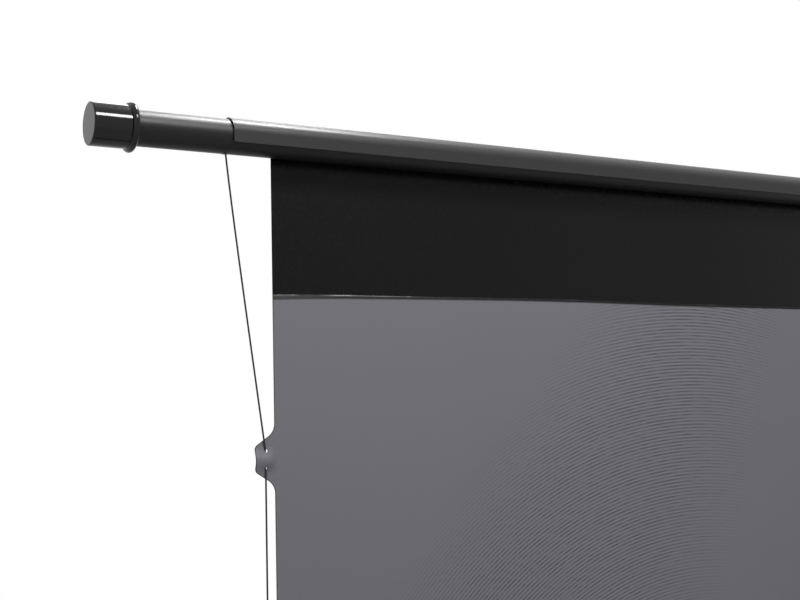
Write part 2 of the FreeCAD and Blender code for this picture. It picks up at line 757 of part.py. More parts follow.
def make_case_ends():
    """Moulded ends that close the case and cradle the bar when it is down."""
    lip = "end_lip"
    half = f"({BACK} + {lip})"
    low, shoulder = f"-{lip}", f"(case_height + {lip})"
    bar = f"({BAR_LOWERED} - {CASE_BOTTOM})"
    peak = f"({bar} + cradle_rise)"
    outline = [
        (f"-{half}", low, f"case_toe_round + {lip}"),
        (half, low, f"case_back_round + {lip}"),
        (half, shoulder, f"case_back_round + {lip}"),
        ("cradle_half", shoulder),
        ("cradle_half", peak, "cradle_round"),
        ("-cradle_half", peak, "cradle_round"),
        ("-cradle_half", shoulder),
        (f"-{half}", shoulder, f"case_front_round + {lip}"),
    ]
    cradle = "(tube_radius + cradle_clearance)"
    for side, name in ((-1, "left"), (1, "right")):
        end = new_body(f"case_end_{name}")
        block = pad(end, sketch_on(end, "YZ_Plane", [outline]), "end_length", reverse=side < 0)
        outer = value("end_length") * side
        soften(
            end,
            block,
            "end_edge_chamfer",
            lambda edge, box: near(box.XMin, outer) and near(box.XMax, outer),
            "PartDesign::Chamfer",
        )
        trough = [
            (f"-{cradle}", bar, cradle, 1),
            ("0", f"{bar} - {cradle}", cradle, 1),
            (cradle, bar),
            (cradle, f"{peak} + overrun"),
            (f"-{cradle}", f"{peak} + overrun"),
        ]
        through = "2 * end_length + overrun"
        pocket(end, sketch_on(end, "YZ_Plane", [trough]), through, symmetric=True)
        room = "end_hollow_half"
        middle = "roller_height"
        hollow = rectangle(
            f"-{room}", f"{middle} - {room}", room, f"{middle} + {room}", "cradle_round"
        )
        pocket(
            end,
            sketch_on(end, "YZ_Plane", [hollow]),
            "end_length - end_wall",
            reverse=side > 0,
        )
        screws = sketch_on(end, "YZ_Plane", circles=[(y, z, "screw_radius") for y, z in PORTS])
        pocket(end, screws, through, symmetric=True)
        sign = "-" if side < 0 else ""
        keep(place(end, f"{sign}{CASE_END}", "0", CASE_BOTTOM), f"case_end_{name}")

    screws = []
    profile = [
        ("0", "-end_length - screw_bite"),
        ("screw_radius", "-end_length - screw_bite"),
        ("screw_radius", "0"),
        ("screw_head_radius", "0"),
        ("screw_head_radius", "screw_head_edge"),
        ("screw_crown_radius", "screw_head"),
        ("0", "screw_head"),
    ]
    for side, turn in (("-", AGAINST_X), ("", ALONG_X)):
        for y, z in PORTS:
            screw = turned("end_screw", profile)
            x = f"{side}({CASE_END} + end_length)"
            screws.append(place(screw, x, y, f"{CASE_BOTTOM} + {z}", turn))
    group("case_end_screws", screws)


def make_roller():
    half_tube = f"({HALF_WIDTH} + roller_overhang)"
    tube = ring("roller_tube", "roller_radius", "roller_radius - roller_wall", f"2 * {half_tube}")
    keep(place(tube, f"-{half_tube}", ROLLER_PLANE, ROLLER_HEIGHT, ALONG_X), "roller_tube")
    roll = ring("fabric_roll", "roll_radius", "roller_radius", "picture_width")
    keep(place(roll, f"-{HALF_WIDTH}", ROLLER_PLANE, ROLLER_HEIGHT, ALONG_X), "fabric_roll")

    hub = f"({FABRIC_PLANE} - {CORD_STEP} - cord_radius - cord_clearance - {ROLLER_PLANE})"
    spool_profile = [
        ("roller_radius", "0"),
        ("spool_flange_radius", "0"),
        ("spool_flange_radius", "spool_flange"),
        (hub, "spool_flange"),
        (hub, "spool_width - spool_flange"),
        ("spool_flange_radius", "spool_width - spool_flange"),
        ("spool_flange_radius", "spool_width"),
        ("roller_radius", "spool_width"),
    ]
    bore = "(roller_radius - roller_wall)"
    idle_profile = [
        ("0", "-plug_length"),
        (bore, "-plug_length"),
        (bore, "0"),
        ("roller_radius", "0"),
        ("roller_radius", "plug_flange"),
        ("idle_pin_radius", "plug_flange"),
        ("idle_pin_radius", f"{CASE_END} - {half_tube}"),
        ("0", f"{CASE_END} - {half_tube}"),
    ]
    drive_bore = "(shaft_radius + run_clearance)"
    drive_profile = [
        (drive_bore, "-plug_length"),
        (bore, "-plug_length"),
        (bore, "0"),
        ("roller_radius", "0"),
        ("roller_radius", "plug_flange"),
        (drive_bore, "plug_flange"),
    ]
    for side, turn, name in (("-", AGAINST_X, "left"), ("", ALONG_X, "right")):
        spool = turned(f"cord_spool_{name}", spool_profile)
        x = f"{side}({HALF_WIDTH} + spool_gap)"
        keep(place(spool, x, ROLLER_PLANE, ROLLER_HEIGHT, turn), f"cord_spool_{name}")
    idle = turned("idle_plug", idle_profile)
    keep(place(idle, f"-{half_tube}", ROLLER_PLANE, ROLLER_HEIGHT, AGAINST_X), "idle_plug")
    drive = turned("drive_plug", drive_profile)
    keep(place(drive, half_tube, ROLLER_PLANE, ROLLER_HEIGHT, ALONG_X), "drive_plug")

    bracket_face = f"({CASE_END} - bracket_thickness)"
    bush_bore = "(idle_pin_radius + run_clearance)"
    bush_outer = "(idle_pin_radius + bush_wall)"
    bush = ring("idle_bush", bush_outer, bush_bore, "bracket_thickness")
    keep(place(bush, f"-{CASE_END}", ROLLER_PLANE, ROLLER_HEIGHT, ALONG_X), "idle_bush")
    fit = "(case_wall + bracket_fit)"
    clear = "(case_wall + port_inset + port_radius + bracket_fit)"
    half = f"({BACK} - {fit})"
    plate = [
        (f"-({BACK} - {clear})", fit),
        (f"({BACK} - {clear})", fit),
        (f"({BACK} - {clear})", clear),
        (half, clear),
        (half, f"case_height - {clear}"),
        (f"{FABRIC_PLANE} - slot_width", f"case_height - {clear}"),
        (f"{FABRIC_PLANE} - slot_width", f"case_height - {fit}"),
        (f"-{half} + case_front_round", f"case_height - {fit}"),
        (f"-{half}", f"case_height - {fit} - case_front_round"),
        (f"-{half}", clear),
        (f"-({BACK} - {clear})", clear),
    ]
    for side, name, hole in ((-1, "left", bush_outer), (1, "right", "shaft_radius")):
        bracket = new_body(f"roller_bracket_{name}")
        holes = [(ROLLER_PLANE, "roller_height", hole)]
        sketch = sketch_on(bracket, "YZ_Plane", [plate], holes)
        pad(bracket, sketch, "bracket_thickness", reverse=side < 0)
        sign = "-" if side < 0 else ""
        keep(place(bracket, f"{sign}{bracket_face}", "0", CASE_BOTTOM), f"roller_bracket_{name}")

    shaft = doc.addObject("Part::Cylinder", "spring_shaft")
    shaft.setExpression("Radius", bind("shaft_radius"))
    shaft.setExpression("Height", bind("shaft_length"))
    shaft_start = f"({CASE_END} - shaft_length)"
    keep(place(shaft, shaft_start, ROLLER_PLANE, ROLLER_HEIGHT, ALONG_X), "spring_shaft")
    anchor = ring("spring_anchor", "spring_radius", "shaft_radius", "anchor_length")
    keep(place(anchor, shaft_start, ROLLER_PLANE, ROLLER_HEIGHT, ALONG_X), "spring_anchor")
    coil_start = f"({shaft_start} + anchor_length)"
    coil_length = f"({half_tube} - plug_length - spring_gap - {coil_start})"
    coil = ring("torsion_spring", "spring_radius", "spring_radius - spring_wall", coil_length)
    keep(place(coil, coil_start, ROLLER_PLANE, ROLLER_HEIGHT, ALONG_X), "torsion_spring")


GEAR_TIP = f"(pivot_half + {ADDENDUM_SHARE} * gear_module)"
GEAR_ROOT = f"(pivot_half - {DEDENDUM_SHARE} * gear_module)"
TEETH_ROUND = "(2 * pivot_half / gear_module)"
TOOTH_PITCH = f"(360 deg / {TEETH_ROUND})"


def involute(angle):
    return f"(tan({angle}) * 180 deg / pi - {angle})"


def flank_angle(radius):
    """Half the tooth's angular width at a radius, slimmed by the backlash."""
    base = f"(pivot_half * cos({PRESSURE_ANGLE}))"
    at_pitch = f"({TOOTH_PITCH} / 4 - gear_backlash / (2 * pivot_half) * 180 deg / pi)"
    here = f"acos(min(1; {base} / {radius}))"
    return f"({at_pitch} + {involute(PRESSURE_ANGLE)} - {involute(here)})"


def make_arm(name, hand, lead, layer, x, z, angle, bores):
    """A flat bar with a gear sector round its pivot; its far end is the elbow."""
    arm = new_body(name)
    half = "arm_width / 2"
    bar = rectangle("0", f"-{half}", "arm_length", half)
    pad(arm, sketch_on(arm, "XZ_Plane", [bar]), "arm_thickness", reverse=True)
    eye = [("arm_length", "0", "elbow_radius")]
    pad(arm, sketch_on(arm, "XZ_Plane", circles=eye), "arm_thickness", reverse=True)
    hub = [("0", "0", GEAR_ROOT)]
    pad(arm, sketch_on(arm, "XZ_Plane", circles=hub), "arm_thickness", reverse=True)
    base = f"(pivot_half * cos({PRESSURE_ANGLE}))"
    middle = f"({hand} * (180 deg - {RAISED} - {TOOTH_PITCH} * {lead}))"
    foot = f"({GEAR_ROOT} - gear_module / 2)"
    flank = [(foot, base), (base, base), ("pivot_half", "pivot_half"), (GEAR_TIP, GEAR_TIP)]
    tooth = [(r, f"({middle} - {flank_angle(at)})") for r, at in flank]
    tooth += [(r, f"({middle} + {flank_angle(at)})") for r, at in reversed(flank)]
    outline = [(f"{r} * cos({turn})", f"{r} * sin({turn})") for r, turn in tooth]
    first = pad(arm, sketch_on(arm, "XZ_Plane", [outline]), "arm_thickness", reverse=True)
    teeth = arm.newObject("PartDesign::PolarPattern", "teeth")
    teeth.Originals = [first]
    teeth.Axis = (origin_feature(arm, "Y_Axis"), [""])
    teeth.Reversed = hand > 0
    teeth.setExpression("Angle", bind(f"{TOOTH_PITCH} * {TOOTH_COUNT - 1}"))
    teeth.Occurrences = TOOTH_COUNT
    arm.Tip = teeth
    holes = [("0", "0", bores[0]), ("arm_length", "0", bores[1])]
    through = "2 * arm_thickness + overrun"
    pocket(arm, sketch_on(arm, "XZ_Plane", circles=holes), through, symmetric=True)
    groove = rectangle(
        "arm_groove_margin",
        "-arm_groove_width / 2",
        "arm_length - arm_groove_margin",
        "arm_groove_width / 2",
        "arm_groove_round",
    )
    rear = sketch_on(arm, "XZ_Plane", [groove], lift="-arm_thickness")
    pocket(arm, rear, "arm_groove_depth", reverse=True)
    turn = FreeCAD.Rotation(Y_AXIS, -angle)
    keep(place(arm, x, layer, z, turn), name)
    return arm


def make_support():
    loose, tight = "(pivot_pin_radius + run_clearance)", "pivot_pin_radius"
    left, right = "-pivot_half", "pivot_half"
    make_arm(
        "right_lower_arm", 1, RIGHT_LEAD, LOWER_LAYER, right, "pivot_height", raised_angle, (loose, tight)
    )
    make_arm(
        "left_lower_arm",
        -1,
        LEFT_LEAD,
        LOWER_LAYER,
        left,
        "pivot_height",
        180 - raised_angle,
        (loose, tight),
    )
    make_arm(
        "right_upper_arm", -1, RIGHT_LEAD, UPPER_LAYER, right, TOP_PIVOT, -raised_angle, (loose, loose)
    )
    make_arm(
        "left_upper_arm", 1, LEFT_LEAD, UPPER_LAYER, left, TOP_PIVOT, 180 + raised_angle, (loose, loose)
    )
    elbow_reach = f"(pivot_half + arm_length * cos({RAISED}))"
    elbow_height = f"(pivot_height + arm_length * sin({RAISED}))"
    stack = "(2 * arm_thickness + washer_thickness)"
    slack = "washer_slack"
    elbow_profile = [
        ("0", "-pin_head"),
        ("pin_head_radius", "-pin_head"),
        ("pin_head_radius", "0"),
        ("pivot_pin_radius", "0"),
        ("pivot_pin_radius", f"{stack} + {slack}"),
        ("pin_head_radius", f"{stack} + {slack}"),
        ("pin_head_radius", f"{stack} + {slack} + pin_head"),
        ("0", f"{stack} + {slack} + pin_head"),
    ]
    washer_bore = "(pivot_pin_radius + run_clearance)"
    washer_height = "(washer_thickness - 2 * washer_slack)"
    for side, name in (("-", "left"), ("", "right")):
        pin = turned(f"elbow_pin_{name}", elbow_profile)
        x = f"{side}{elbow_reach}"
        keep(place(pin, x, LOWER_LAYER, elbow_height, ALONG_Y), f"elbow_pin_{name}")
        washer = ring(f"elbow_washer_{name}", "washer_radius", washer_bore, washer_height)
        y = f"{LOWER_LAYER} + arm_thickness"
        keep(place(washer, x, y, elbow_height, ALONG_Y), f"elbow_washer_{name}")

    base = new_body("base_plate")
    half, low, high = "base_plate_half", PLATE_LOW, PLATE_HIGH
    outline = rectangle(f"-{half}", low, half, high, "base_plate_round")
    holes = [(left, "pivot_height", tight), (right, "pivot_height", tight)]
    holes += [(x, z, "screw_head_radius") for x, z in PLATE_SCREWS]
    holes += [("0", f"{high} - 2 * base_plate_window", "base_plate_window")]
    pad(base, sketch_on(base, "XZ_Plane", [outline], holes), "plate_thickness", reverse=True)
    keep(place(base, "0", BACK, "0"), "base_plate")

    screw_profile = [
        ("0", "-plate_thickness - screw_grip"),
        ("screw_radius", "-plate_thickness - screw_grip"),
        ("screw_radius", "-plate_thickness"),
        ("screw_head_radius", "-plate_thickness"),
        ("screw_head_radius", "0"),
        ("0", "0"),
    ]
    plate_face = f"{BACK} + plate_thickness"
    screws = [
        place(turned("plate_screw", screw_profile), x, plate_face, z, ALONG_Y)
        for x, z in PLATE_SCREWS
    ]
    group("base_plate_screws", screws)

    reach = "(plate_thickness + washer_thickness + arm_thickness)"
    pivot_profile = [
        ("0", "0"),
        ("pivot_pin_radius", "0"),
        ("pivot_pin_radius", f"{reach} + {slack}"),
        ("pin_head_radius", f"{reach} + {slack}"),
        ("pin_head_radius", f"{reach} + {slack} + clip_thickness"),
        ("0", f"{reach} + {slack} + clip_thickness"),
    ]
    low_pins, high_pins, low_washers, high_washers = [], [], [], []
    for x in (left, right):
        pin = turned("base_pin", pivot_profile)
        low_pins.append(place(pin, x, BACK, "pivot_height", ALONG_Y))
        washer = ring("base_washer", "washer_radius", washer_bore, washer_height)
        low_washers.append(place(washer, x, plate_face, "pivot_height", ALONG_Y))
        pin = turned("top_pin", pivot_profile)
        back = f"{TOP_PLATE} + plate_thickness"
        high_pins.append(place(pin, x, back, TOP_PIVOT, AGAINST_Y))
        washer = ring("top_washer", "washer_radius", washer_bore, washer_height)
        high_washers.append(place(washer, x, TOP_PLATE, TOP_PIVOT, AGAINST_Y))
    group("base_pivot_pins", low_pins)
    group("base_pivot_washers", low_washers)
    group("top_pivot_pins", high_pins)
    group("top_pivot_washers", high_washers)

    top = new_body("top_plate")
    shelf = RAIL_TOP
    skirt = "(-top_pivot_drop - top_plate_skirt)"
    back = f"({TOP_PLATE} + plate_thickness)"
    profile = [
        (f"-{RAIL_OUTER}", shelf),
        (TOP_PLATE, shelf, "plate_bend - plate_thickness"),
        (TOP_PLATE, skirt),
        (back, skirt),
        (back, f"{shelf} + plate_thickness", "plate_bend"),
        (f"-{RAIL_OUTER}", f"{shelf} + plate_thickness"),
    ]
    sheet_metal = pad(
        top, sketch_on(top, "YZ_Plane", [profile]), "2 * top_plate_half", symmetric=True
    )
    skirt_at, end_at = value(skirt), value("top_plate_half")
    front_at = value(f"-{RAIL_OUTER}")
    soften(
        top,
        sheet_metal,
        "top_plate_round",
        lambda edge, box: near(abs(box.XMin), end_at)
        and near(box.XLength, 0)
        and (near(box.ZMax, skirt_at) or near(box.YMax, front_at)),
    )
    pins = [(left, "-top_pivot_drop", tight), (right, "-top_pivot_drop", tight)]
    pocket(top, sketch_on(top, "XZ_Plane", circles=pins), f"{back} + overrun")
    keep(place(top, "0", "0", BAR_HEIGHT), "top_plate")


def make_pull_handle():
    """A moulded arch on the bar, with a gap for the fingers."""
    handle = new_body("pull_handle")
    half, inner = "pull_length / 2", "(pull_length / 2 - pull_post)"
    outline = [
        (f"-{half}", "0"),
        (f"-{inner}", "0"),
        (f"-{inner}", "pull_height - pull_grip", "pull_inner_round"),
        (inner, "pull_height - pull_grip", "pull_inner_round"),
        (inner, "0"),
        (half, "0"),
        (half, "pull_height", "pull_round"),
        (f"-{half}", "pull_height", "pull_round"),
    ]
    arch = pad(handle, sketch_on(handle, "XZ_Plane", [outline]), "pull_width", symmetric=True)
    side = value("pull_width / 2")
    soften(
        handle,
        arch,
        "pull_edge",
        lambda edge, box: near(abs(box.YMin), side)
        and near(box.YLength, 0)
        and not near(box.ZMax, 0),
    )
    seat = f"({BAR_HEIGHT} + {RAIL_TOP} + plate_thickness)"
    keep(place(handle, "0", "0", seat), "pull_handle")


def make_feet():
    foot_x = f"({CASE_END} - foot_inset)"
    half_long = "foot_length / 2"
    for side, name in (("-", "left"), ("", "right")):
        x = f"{side}{foot_x}"
        plan = new_body("foot_plan")
        wide, tip = "foot_half_width", "foot_tip_half"
        outline = [
            (f"-{tip}", f"-{half_long}", "foot_tip_round"),
            (tip, f"-{half_long}", "foot_tip_round"),
            (wide, "-foot_boss_half"),
            (wide, "foot_boss_half"),
            (tip, half_long, "foot_tip_round"),
            (f"-{tip}", half_long, "foot_tip_round"),
            (f"-{wide}", "foot_boss_half"),
            (f"-{wide}", "-foot_boss_half"),
        ]
        pad(plan, sketch_on(plan, "XY_Plane", [outline]), "foot_thickness")
        flank = new_body("foot_flank")
        outline = [
            (f"-{half_long}", "0"),
            (half_long, "0"),
            (half_long, "foot_tip_thickness"),
            ("foot_boss_half", "foot_thickness"),
            ("-foot_boss_half", "foot_thickness"),
            (f"-{half_long}", "foot_tip_thickness"),
        ]
        pad(flank, sketch_on(flank, "YZ_Plane", [outline]), "2 * foot_half_width", symmetric=True)
        blank = doc.addObject("Part::Common", "foot_blank")
        blank.Base, blank.Tool = plan, flank
        bolt_bore = doc.addObject("Part::Cylinder", "bolt_bore")
        bolt_bore.setExpression("Radius", bind("foot_bolt_radius + run_clearance"))
        bolt_bore.setExpression("Height", bind("foot_thickness + 2 * overrun"))
        place(bolt_bore, "0", "0", "-overrun")
        head_bore = doc.addObject("Part::Cylinder", "head_bore")
        head_bore.setExpression("Radius", bind("foot_bolt_head_radius + foot_head_room"))
        head_bore.setExpression("Height", bind("foot_bolt_head + foot_head_room + overrun"))
        place(head_bore, "0", "0", "-overrun")
        tools = [bolt_bore, head_bore]
        pads = []
        pad_profile = [
            ("0", "0"),
            ("pad_radius - pad_edge", "0"),
            ("pad_radius", "pad_edge"),
            ("pad_radius", "pad_proud + pad_seat"),
            ("0", "pad_proud + pad_seat"),
        ]
        for end in ("-", ""):
            y = f"{end}(foot_length / 2 - pad_inset)"
            seat = doc.addObject("Part::Cylinder", "pad_seat_cut")
            seat.setExpression("Radius", bind("pad_radius"))
            seat.setExpression("Height", bind("pad_seat + overrun"))
            place(seat, "0", y, "-overrun")
            tools.append(seat)
            pads.append(place(turned("rubber_pad", pad_profile), x, y, "0"))
        bores = doc.addObject("Part::MultiFuse", "foot_bores")
        bores.Shapes = tools
        foot = doc.addObject("Part::Cut", f"foot_{name}")
        foot.Base, foot.Tool = blank, bores
        keep(place(foot, x, "0", "pad_proud"), f"foot_{name}")
        group(f"foot_pads_{name}", pads)

    mounts, bolts, nuts = [], [], []
    mount_low = f"({CASE_BOTTOM} - mount_thickness)"
    bolt_low = "(pad_proud + foot_head_room)"
    nut_low = f"({CASE_BOTTOM} + case_wall)"
    bolt_profile = [
        ("0", "0"),
        ("foot_bolt_head_radius", "0"),
        ("foot_bolt_head_radius", "foot_bolt_head"),
        ("foot_bolt_radius", "foot_bolt_head"),
        ("foot_bolt_radius", f"{nut_low} + nut_plate_thickness - {bolt_low}"),
        ("0", f"{nut_low} + nut_plate_thickness - {bolt_low}"),
    ]
    for side in ("-", ""):
        x = f"{side}{foot_x}"
        mount = ring("foot_mount", "mount_radius", "foot_bolt_radius", "mount_thickness")
        mounts.append(place(mount, x, "0", mount_low))
        bolts.append(place(turned("foot_bolt", bolt_profile), x, "0", bolt_low))
        nut = new_body("nut_plate")
        half = "nut_plate_half"
        outline = rectangle(f"-{half}", f"-{half}", half, half, "nut_plate_round")
        hole = [("0", "0", "foot_bolt_radius")]
        pad(nut, sketch_on(nut, "XY_Plane", [outline], hole), "nut_plate_thickness")
        nuts.append(place(nut, x, "0", nut_low))
    group("foot_mounts", mounts)
    group("foot_pivot_bolts", bolts)
    group("foot_nut_plates", nuts)


def make_carry_handle():
    """A bail that hangs on the case's front between two ears."""
    handle = new_body("carry_handle")
    outer, inner = "carry_half", "(carry_half - carry_width)"
    top = "(carry_thickness / 2)"
    low, grip = "-carry_drop", "(carry_grip - carry_drop)"
    outline = [
        (f"-{outer}", low, "carry_round"),
        (outer, low, "carry_round"),
        (outer, top),
        (inner, top),
        (inner, grip, "carry_inner_round"),
        (f"-{inner}", grip, "carry_inner_round"),
        (f"-{inner}", top),
        (f"-{outer}", top),
    ]
    bail = pad(handle, sketch_on(handle, "XZ_Plane", [outline]), "carry_thickness", symmetric=True)
    top_at = value(top)
    eyes = soften(
        handle,
        bail,
        "carry_eye_round",
        lambda edge, box: near(box.ZMin, top_at) and near(box.YLength, 0),
    )
    side = value("carry_thickness / 2")
    soften(
        handle,
        eyes,
        "carry_edge",
        lambda edge, box: near(abs(box.YMin), side)
        and near(box.YLength, 0)
        and near(box.ZMin, value(low))
        and box.XLength > value(outer),
    )
    holes = [("0", "0", "carry_pin_radius + run_clearance")]
    pocket(handle, sketch_on(handle, "YZ_Plane", circles=holes), "2 * carry_half + overrun", symmetric=True)
    y = f"-({BACK} + carry_standoff)"
    z = f"({CASE_TOP} - case_front_round - carry_pivot_drop + carry_standoff)"
    keep(place(handle, "0", y, z), "carry_handle")

    ears, pins = [], []
    start = "(carry_half + carry_side_gap)"
    pin_start = "(carry_half - carry_width)"
    pin_length = "(carry_width + carry_side_gap + ear_width)"
    for side, turn in (("-", AGAINST_X), ("", ALONG_X)):
        ear = new_body("ear")
        outline = [
            ("carry_standoff", "-ear_half"),
            ("carry_standoff", "ear_half"),
            ("-carry_thickness / 2", "carry_thickness / 2", "ear_round"),
            ("-carry_thickness / 2", "-carry_thickness / 2", "ear_round"),
        ]
        hole = [("0", "0", "carry_pin_radius")]
        pad(ear, sketch_on(ear, "YZ_Plane", [outline], hole), "ear_width", reverse=side == "-")
        ears.append(place(ear, f"{side}{start}", y, z))
        pin = doc.addObject("Part::Cylinder", "carry_pin")
        pin.setExpression("Radius", bind("carry_pin_radius"))
        pin.setExpression("Height", bind(pin_length))
        pins.append(place(pin, f"{side}{pin_start}", y, z, turn))
    group("carry_handle_ears", ears)
    group("carry_handle_pins", pins)


make_fabric()
make_cords()
make_top_bar()
make_cord_ends()
make_case()
make_case_ends()
make_roller()
make_support()
make_pull_handle()
make_feet()
make_carry_handle()
doc.recompute()

for item in doc.Objects:
    broken = [state for state in item.State if state in ("Invalid", "Error")]
    if broken:
        raise RuntimeError(f"{item.Label} ({item.Name}) is {broken}")
    if item.TypeId.startswith("PartDesign") and not item.Shape.isValid():
        raise RuntimeError(f"{item.Label} ({item.Name}) has no sound shape")
os.makedirs("parts", exist_ok=True)
for piece in nodes:
    if piece.Shape.isNull() or not piece.Shape.isValid():
        raise RuntimeError(f"{piece.Label} has no sound shape")
    piece.Shape.exportStep(f"parts/{piece.Label}.step")
print(len(nodes), "nodes, raised", round(raised_angle, 3), "lowered", round(lowered_angle, 3))
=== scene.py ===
import json
import math

import bmesh
import bpy
from mathutils import Euler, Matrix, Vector


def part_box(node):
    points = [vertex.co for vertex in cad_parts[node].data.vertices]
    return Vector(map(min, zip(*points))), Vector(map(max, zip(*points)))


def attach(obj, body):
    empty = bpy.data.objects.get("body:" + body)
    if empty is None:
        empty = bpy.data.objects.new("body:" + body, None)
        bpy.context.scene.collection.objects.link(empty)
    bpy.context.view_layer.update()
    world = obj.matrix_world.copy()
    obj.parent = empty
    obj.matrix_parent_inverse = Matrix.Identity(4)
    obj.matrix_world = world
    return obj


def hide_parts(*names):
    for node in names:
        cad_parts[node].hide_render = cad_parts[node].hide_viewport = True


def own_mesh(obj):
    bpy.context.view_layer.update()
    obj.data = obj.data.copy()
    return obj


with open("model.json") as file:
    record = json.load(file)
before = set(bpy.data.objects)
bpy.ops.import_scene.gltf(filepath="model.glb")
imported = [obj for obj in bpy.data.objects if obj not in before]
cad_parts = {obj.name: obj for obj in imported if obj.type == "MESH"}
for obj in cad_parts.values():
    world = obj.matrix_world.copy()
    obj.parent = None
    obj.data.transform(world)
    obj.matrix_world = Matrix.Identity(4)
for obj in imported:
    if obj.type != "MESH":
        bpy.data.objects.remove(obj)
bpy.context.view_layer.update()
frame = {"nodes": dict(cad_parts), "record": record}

# The finish, fabric, cords and light of a tab-tensioned floor screen. Metres, floor at zero height,
# X along the bar, front towards -Y.

nodes = frame["nodes"]
slot_of = {part["node"]: part["material_slot"] for part in frame["record"]["subparts"]}

# places read from the frame
tube_low, tube_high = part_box("top_tube")
screen_low, screen_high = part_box("grey_screen")
drop_low, drop_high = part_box("black_top_drop")
leader_low, leader_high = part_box("bottom_leader")
roller_low, roller_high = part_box("roller_tube")
BAR_HEIGHT = (tube_low.z + tube_high.z) / 2
BAR_PLANE = (tube_low.y + tube_high.y) / 2
TUBE_RADIUS = (tube_high.z - tube_low.z) / 2
HALF_WIDTH = drop_high.x
TAB_TIP = screen_high.x
FABRIC_PLANE = (drop_low.y + drop_high.y) / 2
FABRIC_THICKNESS = drop_high.y - drop_low.y
FABRIC_FRONT = FABRIC_PLANE - FABRIC_THICKNESS / 2
PICTURE_LOW, PICTURE_HIGH = screen_low.z, screen_high.z
ROLLER_HEIGHT = (roller_low.z + roller_high.z) / 2

# camera, placed from the bar's middle
CAMERA_X = -1.3209
CAMERA_Y = -0.9354
CAMERA_DROP = 0.2213
CAMERA_HEADING = math.radians(30.68)
CAMERA_PITCH = math.radians(4.53)
CAMERA_ROLL = math.radians(-1.28)
CAMERA_LENS = 54.09
CAMERA_NEAR = 0.0008

# tension tabs
TAB_COUNT = 4
TAB_END_MARGIN = 0.1408
TAB_PITCH = (PICTURE_HIGH - PICTURE_LOW - 2 * TAB_END_MARGIN) / (TAB_COUNT - 1)
TAB_CENTRES = [PICTURE_HIGH - TAB_END_MARGIN - number * TAB_PITCH for number in range(TAB_COUNT)]
TAB_OUTER_UP = 0.0113
TAB_OUTER_DOWN = 0.0100
TAB_ROOT_UP = 0.0237
TAB_ROOT_DOWN = 0.0220
TAB_ROOT_ROUND = 0.013
TAB_TIP_ROUND = 0.0055
TAB_HOLE_HALF = 0.0065
UPPER_HOLE = (0.0014, 0.0015)
LOWER_HOLE = (0.0009, 0.0013)
UPPER_HOLE_SHIFT = 0.0006
HOLE_SPREAD = 0.0011
TAB_BOW = 0.0042
TAB_BOW_HALF = 0.012
TAB_BOW_LOW = 0.0005
TAB_BOW_START = 0.003
TAB_BOW_FULL = 0.006
TIP_FALL_SHARE = 0.35
TAB_GRID = 0.0015
CORNER_STEPS = 10
HOLE_STEPS = 28
# width of the dark rim on the front face along the cut and around the holes, where it is also painted shade
RIM_WIDTH = 0.0009

# painted sheen and shade of the picture coating's ribs: arcs about a point in each half of the screen,
# painted only in a slanted band; shares of the coating's brightness that a rib's painted sheen and painted
# shade add
RIB_CENTRE = (0.40, 0, 0.58)
RIB_PITCH = 0.0035
RIB_SHEEN_SHARE = 0.20
RIB_SHADE_SHARE = -0.38
# strength of a rib along its length, from its faint places to its strong ones
RIB_FAINT = 0.55
RIB_STRONG = 1.45
# across each side of the band: slant, where the ribs begin to show, where they show fully
RIB_OUTER_SIDE = ((1, 0, 0.92), 1.64, 1.50)
RIB_INNER_SIDE = ((1, 0, 0.425), 0.72, 0.87)
# rings at a scale of one are pi / RING_RATE apart
RING_RATE = 10

# how far wear and soft light reach over a sharp edge
EDGE_ROUND = 0.0006

# depth of the relief in a drawn, woven or plated surface, in a grained one and in a wrinkled film
FINE_RELIEF = 0.0002
GRAIN_RELIEF = 0.0003
WRINKLE_RELIEF = 0.0004

# how far red, green and blue light run on inside nylon
NYLON_GLOW = (0.002, 0.0015, 0.001)

# materials of a sheet's faces, after the first one, which is on its front
BACK_FACE = 1
RIM_FACE = 2

# mesh tolerances
MERGE = 0.00001
SHORT_EDGE = 0.00003
END_DEPTH = 0.00005
FLAT_ANGLE = math.radians(0.5)
SHARP_ANGLE = math.radians(40)
FLAT_NORMAL = 0.99995

# wound fabric
ROLL_TURNS = 8
ROLL_STEPS = 64
ROLL_CLEAR = 0.0001

# tension cords
CORD_RADIUS = 0.0008
CORD_HOLE_X = 0.9351
CORD_LINE = 0.8945
CORD_STEP = 0.0012
CORD_SWING = 0.002
CORD_LEAD = 0.0096
CORD_TOP = 1.3173
CORD_SIDES = 10
CORD_FINENESS = 8
FIRST_LEAD_OUT = 0.0016

# heads on the ends of screws and pins: rings from the middle outwards, as shares of the end's radius and
# of the head's rise, and whether the ring is a hexagon
SOCKET_HEAD = (
    (0, 0.1, False),
    (0.46, 0.1, True),
    (0.5, 0.92, True),
    (0.62, 1, False),
    (0.82, 0.86, False),
    (0.95, 0.5, False),
    (1, 0, False),
)
RIVET_HEAD = (
    (0, 0.45, False),
    (0.16, 0.45, False),
    (0.24, 0.9, False),
    (0.58, 1, False),
    (0.62, 0.7, False),
    (0.69, 0.7, False),
    (0.73, 0.94, False),
    (0.9, 0.75, False),
    (1, 0, False),
)
HEAD_STEPS = 36
# node, whether its ends face sideways or to the back, shape of head, rise
HEADS = (
    ("case_end_screws", True, SOCKET_HEAD, 0.0012),
    ("carry_handle_pins", True, RIVET_HEAD, 0.0008),
    ("base_plate_screws", False, SOCKET_HEAD, 0.0008),
    ("base_pivot_pins", False, RIVET_HEAD, 0.0012),
    ("top_pivot_pins", False, RIVET_HEAD, 0.0010),
    ("elbow_pin_left", False, RIVET_HEAD, 0.0012),
    ("elbow_pin_right", False, RIVET_HEAD, 0.0012),
)
